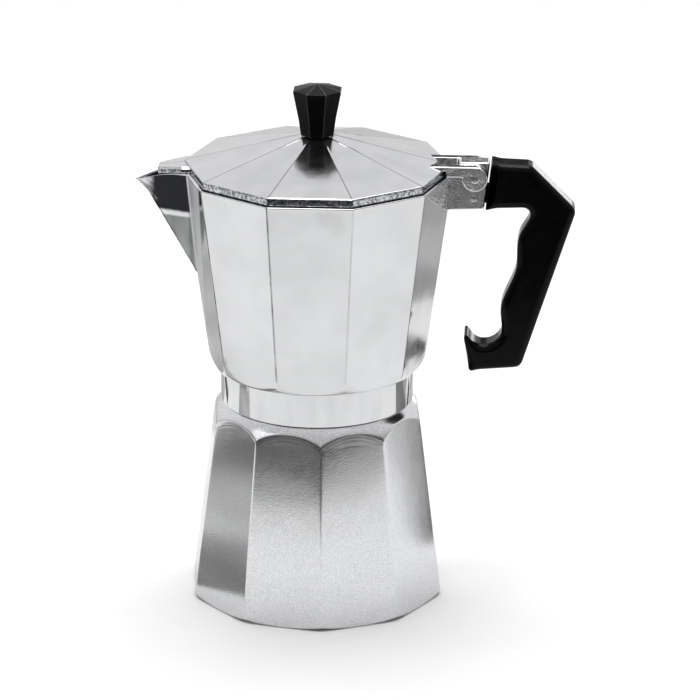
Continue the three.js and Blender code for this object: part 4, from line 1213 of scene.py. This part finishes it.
# %% Bodies
place(boiler, "boiler", "cast_aluminium", cast, "boiler")
place(collector, "collector", "polished_aluminium", polished, "collector")
place(column, "collector", "polished_aluminium", sheet)
place(bracket, "collector", "polished_aluminium", rough_cast)
place(hinge_pin, "collector", "steel", steel, "hinge_pin")
place(rivet_bar, "collector", "steel", steel, "handle_pin")
place(handle, "collector", "black_plastic", handle_plastic, "handle")
place(tongue, "collector", "black_plastic", handle_plastic)
place(lid, "lid", "polished_aluminium", lid_skin, "lid")
place(beak, "lid", "polished_aluminium", lid_skin)
for arm in (arm_right, arm_left, arm_web):
    place(arm, "lid", "polished_aluminium", arm_skin)
place(knob, "lid", "black_plastic", knob_plastic, "knob")
place(valve_hex, "boiler", "brass", brass, "valve_body")
place(valve_disc, "boiler", "brass", brass, "valve_cap")
place(valve_ring, "boiler", "rubber", silicone, "valve_washer")
place(valve_pin, "valve_stem", "brass", brass, "valve_stem")
kept = {
    "valve_nut": brass,
    "valve_seal": silicone,
    "valve_spring": steel,
    "funnel": sheet,
    "funnel_strainer": sheet,
    "filter_plate": sheet,
    "gasket": silicone,
    "knob_screw": steel,
    "knob_washer": steel,
}
for node, finish in kept.items():
    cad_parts[node].data.materials.clear()
    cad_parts[node].data.materials.append(finish)
print("CAD nodes kept:", sorted(kept))

# %% [markdown]
# ## Floor and light
# The pot stands on a plain pale floor under a big overhead softbox, with a weaker one on the left
# and a small one far behind. Polished metal shows only what is round it, so the room's own
# brightness matters most: it is light at the back and above, and dark low down in front.

# %% Floor
def add_floor(half):
    """A square of floor at the pot's foot."""
    mesh = bpy.data.meshes.new("floor")
    corners = [(-half, -half, 0), (half, -half, 0), (half, half, 0), (-half, half, 0)]
    mesh.from_pydata(corners, [], [(0, 1, 2, 3)])
    floor = add_object("floor", mesh)
    paint = Finish("floor_paper", (0.9, 0.9, 0.9), 0, 0.9)
    paint.colour(paint.over((0.89, 0.89, 0.89), paint.clouds(60 * MM, spread=0.2), (0.91, 0.91, 0.91)))
    mesh.materials.append(paint.material)
    floor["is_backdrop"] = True
    print("floor:", 2 * half, "m square")


add_floor(6)


# %% Room
def add_room(front, back):
    """World light by direction. Each side of the room is a ramp of brightness over the sine of the
    height above the horizon, and the two sides are mixed by how far a direction points back."""
    world = bpy.data.worlds.new("room")
    bpy.context.scene.world = world
    world.use_nodes = True
    nodes, links = world.node_tree.nodes, world.node_tree.links
    coords = nodes.new("ShaderNodeTexCoord")
    split = nodes.new("ShaderNodeSeparateXYZ")
    links.new(coords.outputs["Generated"], split.inputs["Vector"])

    def ramp(stops):
        """Brightness by the sine of the height: -1 is straight down and 1 straight up."""
        height = nodes.new("ShaderNodeMapRange")
        height.inputs["From Min"].default_value = -1
        links.new(split.outputs["Z"], height.inputs["Value"])
        node = nodes.new("ShaderNodeValToRGB")
        links.new(height.outputs["Result"], node.inputs["Fac"])
        points = node.color_ramp.elements
        while len(points) < len(stops):
            points.new(0.5)
        for point, (sine, light) in zip(points, stops):
            point.position = (sine + 1) / 2
            point.color = (light, light, light * 1.01, 1)
        return node.outputs["Color"]

    side = nodes.new("ShaderNodeMapRange")
    side.interpolation_type = "SMOOTHSTEP"
    side.inputs["From Min"].default_value = -0.5
    side.inputs["From Max"].default_value = 0.6
    links.new(split.outputs["Y"], side.inputs["Value"])
    mix = nodes.new("ShaderNodeMix")
    mix.data_type = "RGBA"
    links.new(side.outputs["Result"], mix.inputs["Factor"])
    links.new(ramp(front), mix.inputs["A"])
    links.new(ramp(back), mix.inputs["B"])
    links.new(mix.outputs["Result"], nodes["Background"].inputs["Color"])


def add_softbox(name, place_at, aim_at, width, height, power, spread=180):
    """A rectangular light that faces a point. A smaller spread keeps its beam together."""
    data = bpy.data.lights.new(name, "AREA")
    data.shape = "RECTANGLE"
    data.size, data.size_y = width, height
    data.energy = power
    data.spread = math.radians(spread)
    lamp = add_object(name, data)
    lamp.location = place_at
    lamp.rotation_mode = "QUATERNION"
    lamp.rotation_quaternion = (Vector(aim_at) - Vector(place_at)).to_track_quat("-Z", "Y")
    return lamp


def add_cloth(name, corners, shade, height=1 * MM, uneven=0.3):
    """A cloth that only reflections see, so it draws the grey streaks of a darker studio in the metal
    and throws no shadow. Corners of two numbers lie at one height above the floor."""
    mesh = bpy.data.meshes.new(name)
    mesh.from_pydata([(*corner, height)[:3] for corner in corners], [], [list(range(len(corners)))])
    cloth = add_object(name, mesh)
    felt = Finish(name + "_felt", (shade,) * 3, 0, 0.95)
    dark, light = (shade * (1 - uneven),) * 3, (shade * (1 + uneven),) * 3
    felt.colour(felt.over(dark, felt.clouds(70 * MM, detail=1), light))
    mesh.materials.append(felt.material)
    cloth.visible_camera = cloth.visible_shadow = cloth.visible_diffuse = False
    cloth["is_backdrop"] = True
    return cloth


def floor_quad(x0, x1, y0, y1):
    """The four corners of a rectangle on the floor."""
    return [(x0, y0), (x1, y0), (x1, y1), (x0, y1)]


add_room(
    front=[(-1, 0.2), (-0.1, 0.06), (0.15, 0.08), (0.5, 0.4), (1, 0.5)],
    back=[(-1, 0.5), (0, 0.62), (0.35, 0.66), (0.75, 0.62), (1, 0.55)],
)
add_softbox("overhead", (0, 0.3, 1.7), (0, 0.25, 0), 1.4, 1.4, 8.5, 110)
add_softbox("left_softbox", (-1.4, -0.7, 0.9), (0, 0, 0.1), 0.9, 1.2, 1.5)
add_softbox("back_strip", (0.97, 3, 0.3), (0.1, 0, 0.15), 0.5, 0.5, 2.2)

# %% [markdown]
# ## Cloths
# The dark and grey patches in polished metal are the mirror image of a darker studio. A ray that
# leaves a facet for the floor lands at one place, so a cloth there puts its shade on that facet.
# `floor_cloths` gives each one's lowest and highest x and y, its shade, and its height where two
# overlap.

# %% Cloths
low, high = 1 * MM, 1.5 * MM
floor_cloths = {
    "front_strip": (-0.6, 0.01, -0.55, -0.485, 0.35, high),
    "bracket_card": (0.034, 0.061, -0.572, -0.45, 0.9, high),
    "left_near_cloth": (-0.155, -0.065, -0.06, 0.03, 0.26, low),
    "left_middle_cloth": (-0.28, -0.155, -0.05, 0.03, 0.38, low),
    "left_far_cloth": (-0.9, -0.28, -0.03, 0.04, 0.12, low),
    "left_back_cloth": (-0.9, -0.165, 0.23, 0.7, 0.4, low),
    "left_edge_cloth": (-0.185, -0.07, 0.17, 0.4, 0.42, low),
    "left_streak": (-0.215, -0.192, 0.13, 0.21, 0.04, high),
    "right_back_cloth": (0.2, 0.9, 0.14, 0.7, 0.3, 1.2 * MM),
    "right_edge_cloth": (0.08, 0.15, 0.17, 0.4, 0.35, low),
    "right_streak": (0.16, 0.178, 0.14, 0.2, 0.04, high),
}
add_cloth("grey_paper", floor_quad(-3, 3, -3, 3), 0.72, 0.5 * MM, 0.04)
for name, (x0, x1, y0, y1, shade, height) in floor_cloths.items():
    add_cloth(name, floor_quad(x0, x1, y0, y1), shade, height)
front_edge = [(1.2, -3), (0.62, -0.49), (0.348, -0.377), (0.279, -0.339), (-3, -0.42)]
add_cloth("front_cloth", [(-3, -3)] + front_edge, 0.035)
add_cloth("right_cloth", [(0.124, 0.0155), (0.841, 0.32), (0.9, 0.7), (0.15, 0.12)], 0.18)
add_cloth("back_flag", [(-0.3, 3, 0.85), (0.4, 3, 0.85), (0.4, 3, 1.3), (-0.3, 3, 1.3)], 0.02)
print("cloths:", len(floor_cloths) + 4)

# %% Colour
look = bpy.context.scene.view_settings
look.view_transform = "Standard"
look.look = "Medium High Contrast"
print("picture:", look.view_transform, "with", look.look.lower())

# %% Sizes and the end
look_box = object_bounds()
for name, (low, high) in (("CAD", cad_box), ("visual", look_box)):
    print(name, "box in mm:", [round(v * 1000, 1) for v in low], [round(v * 1000, 1) for v in high])
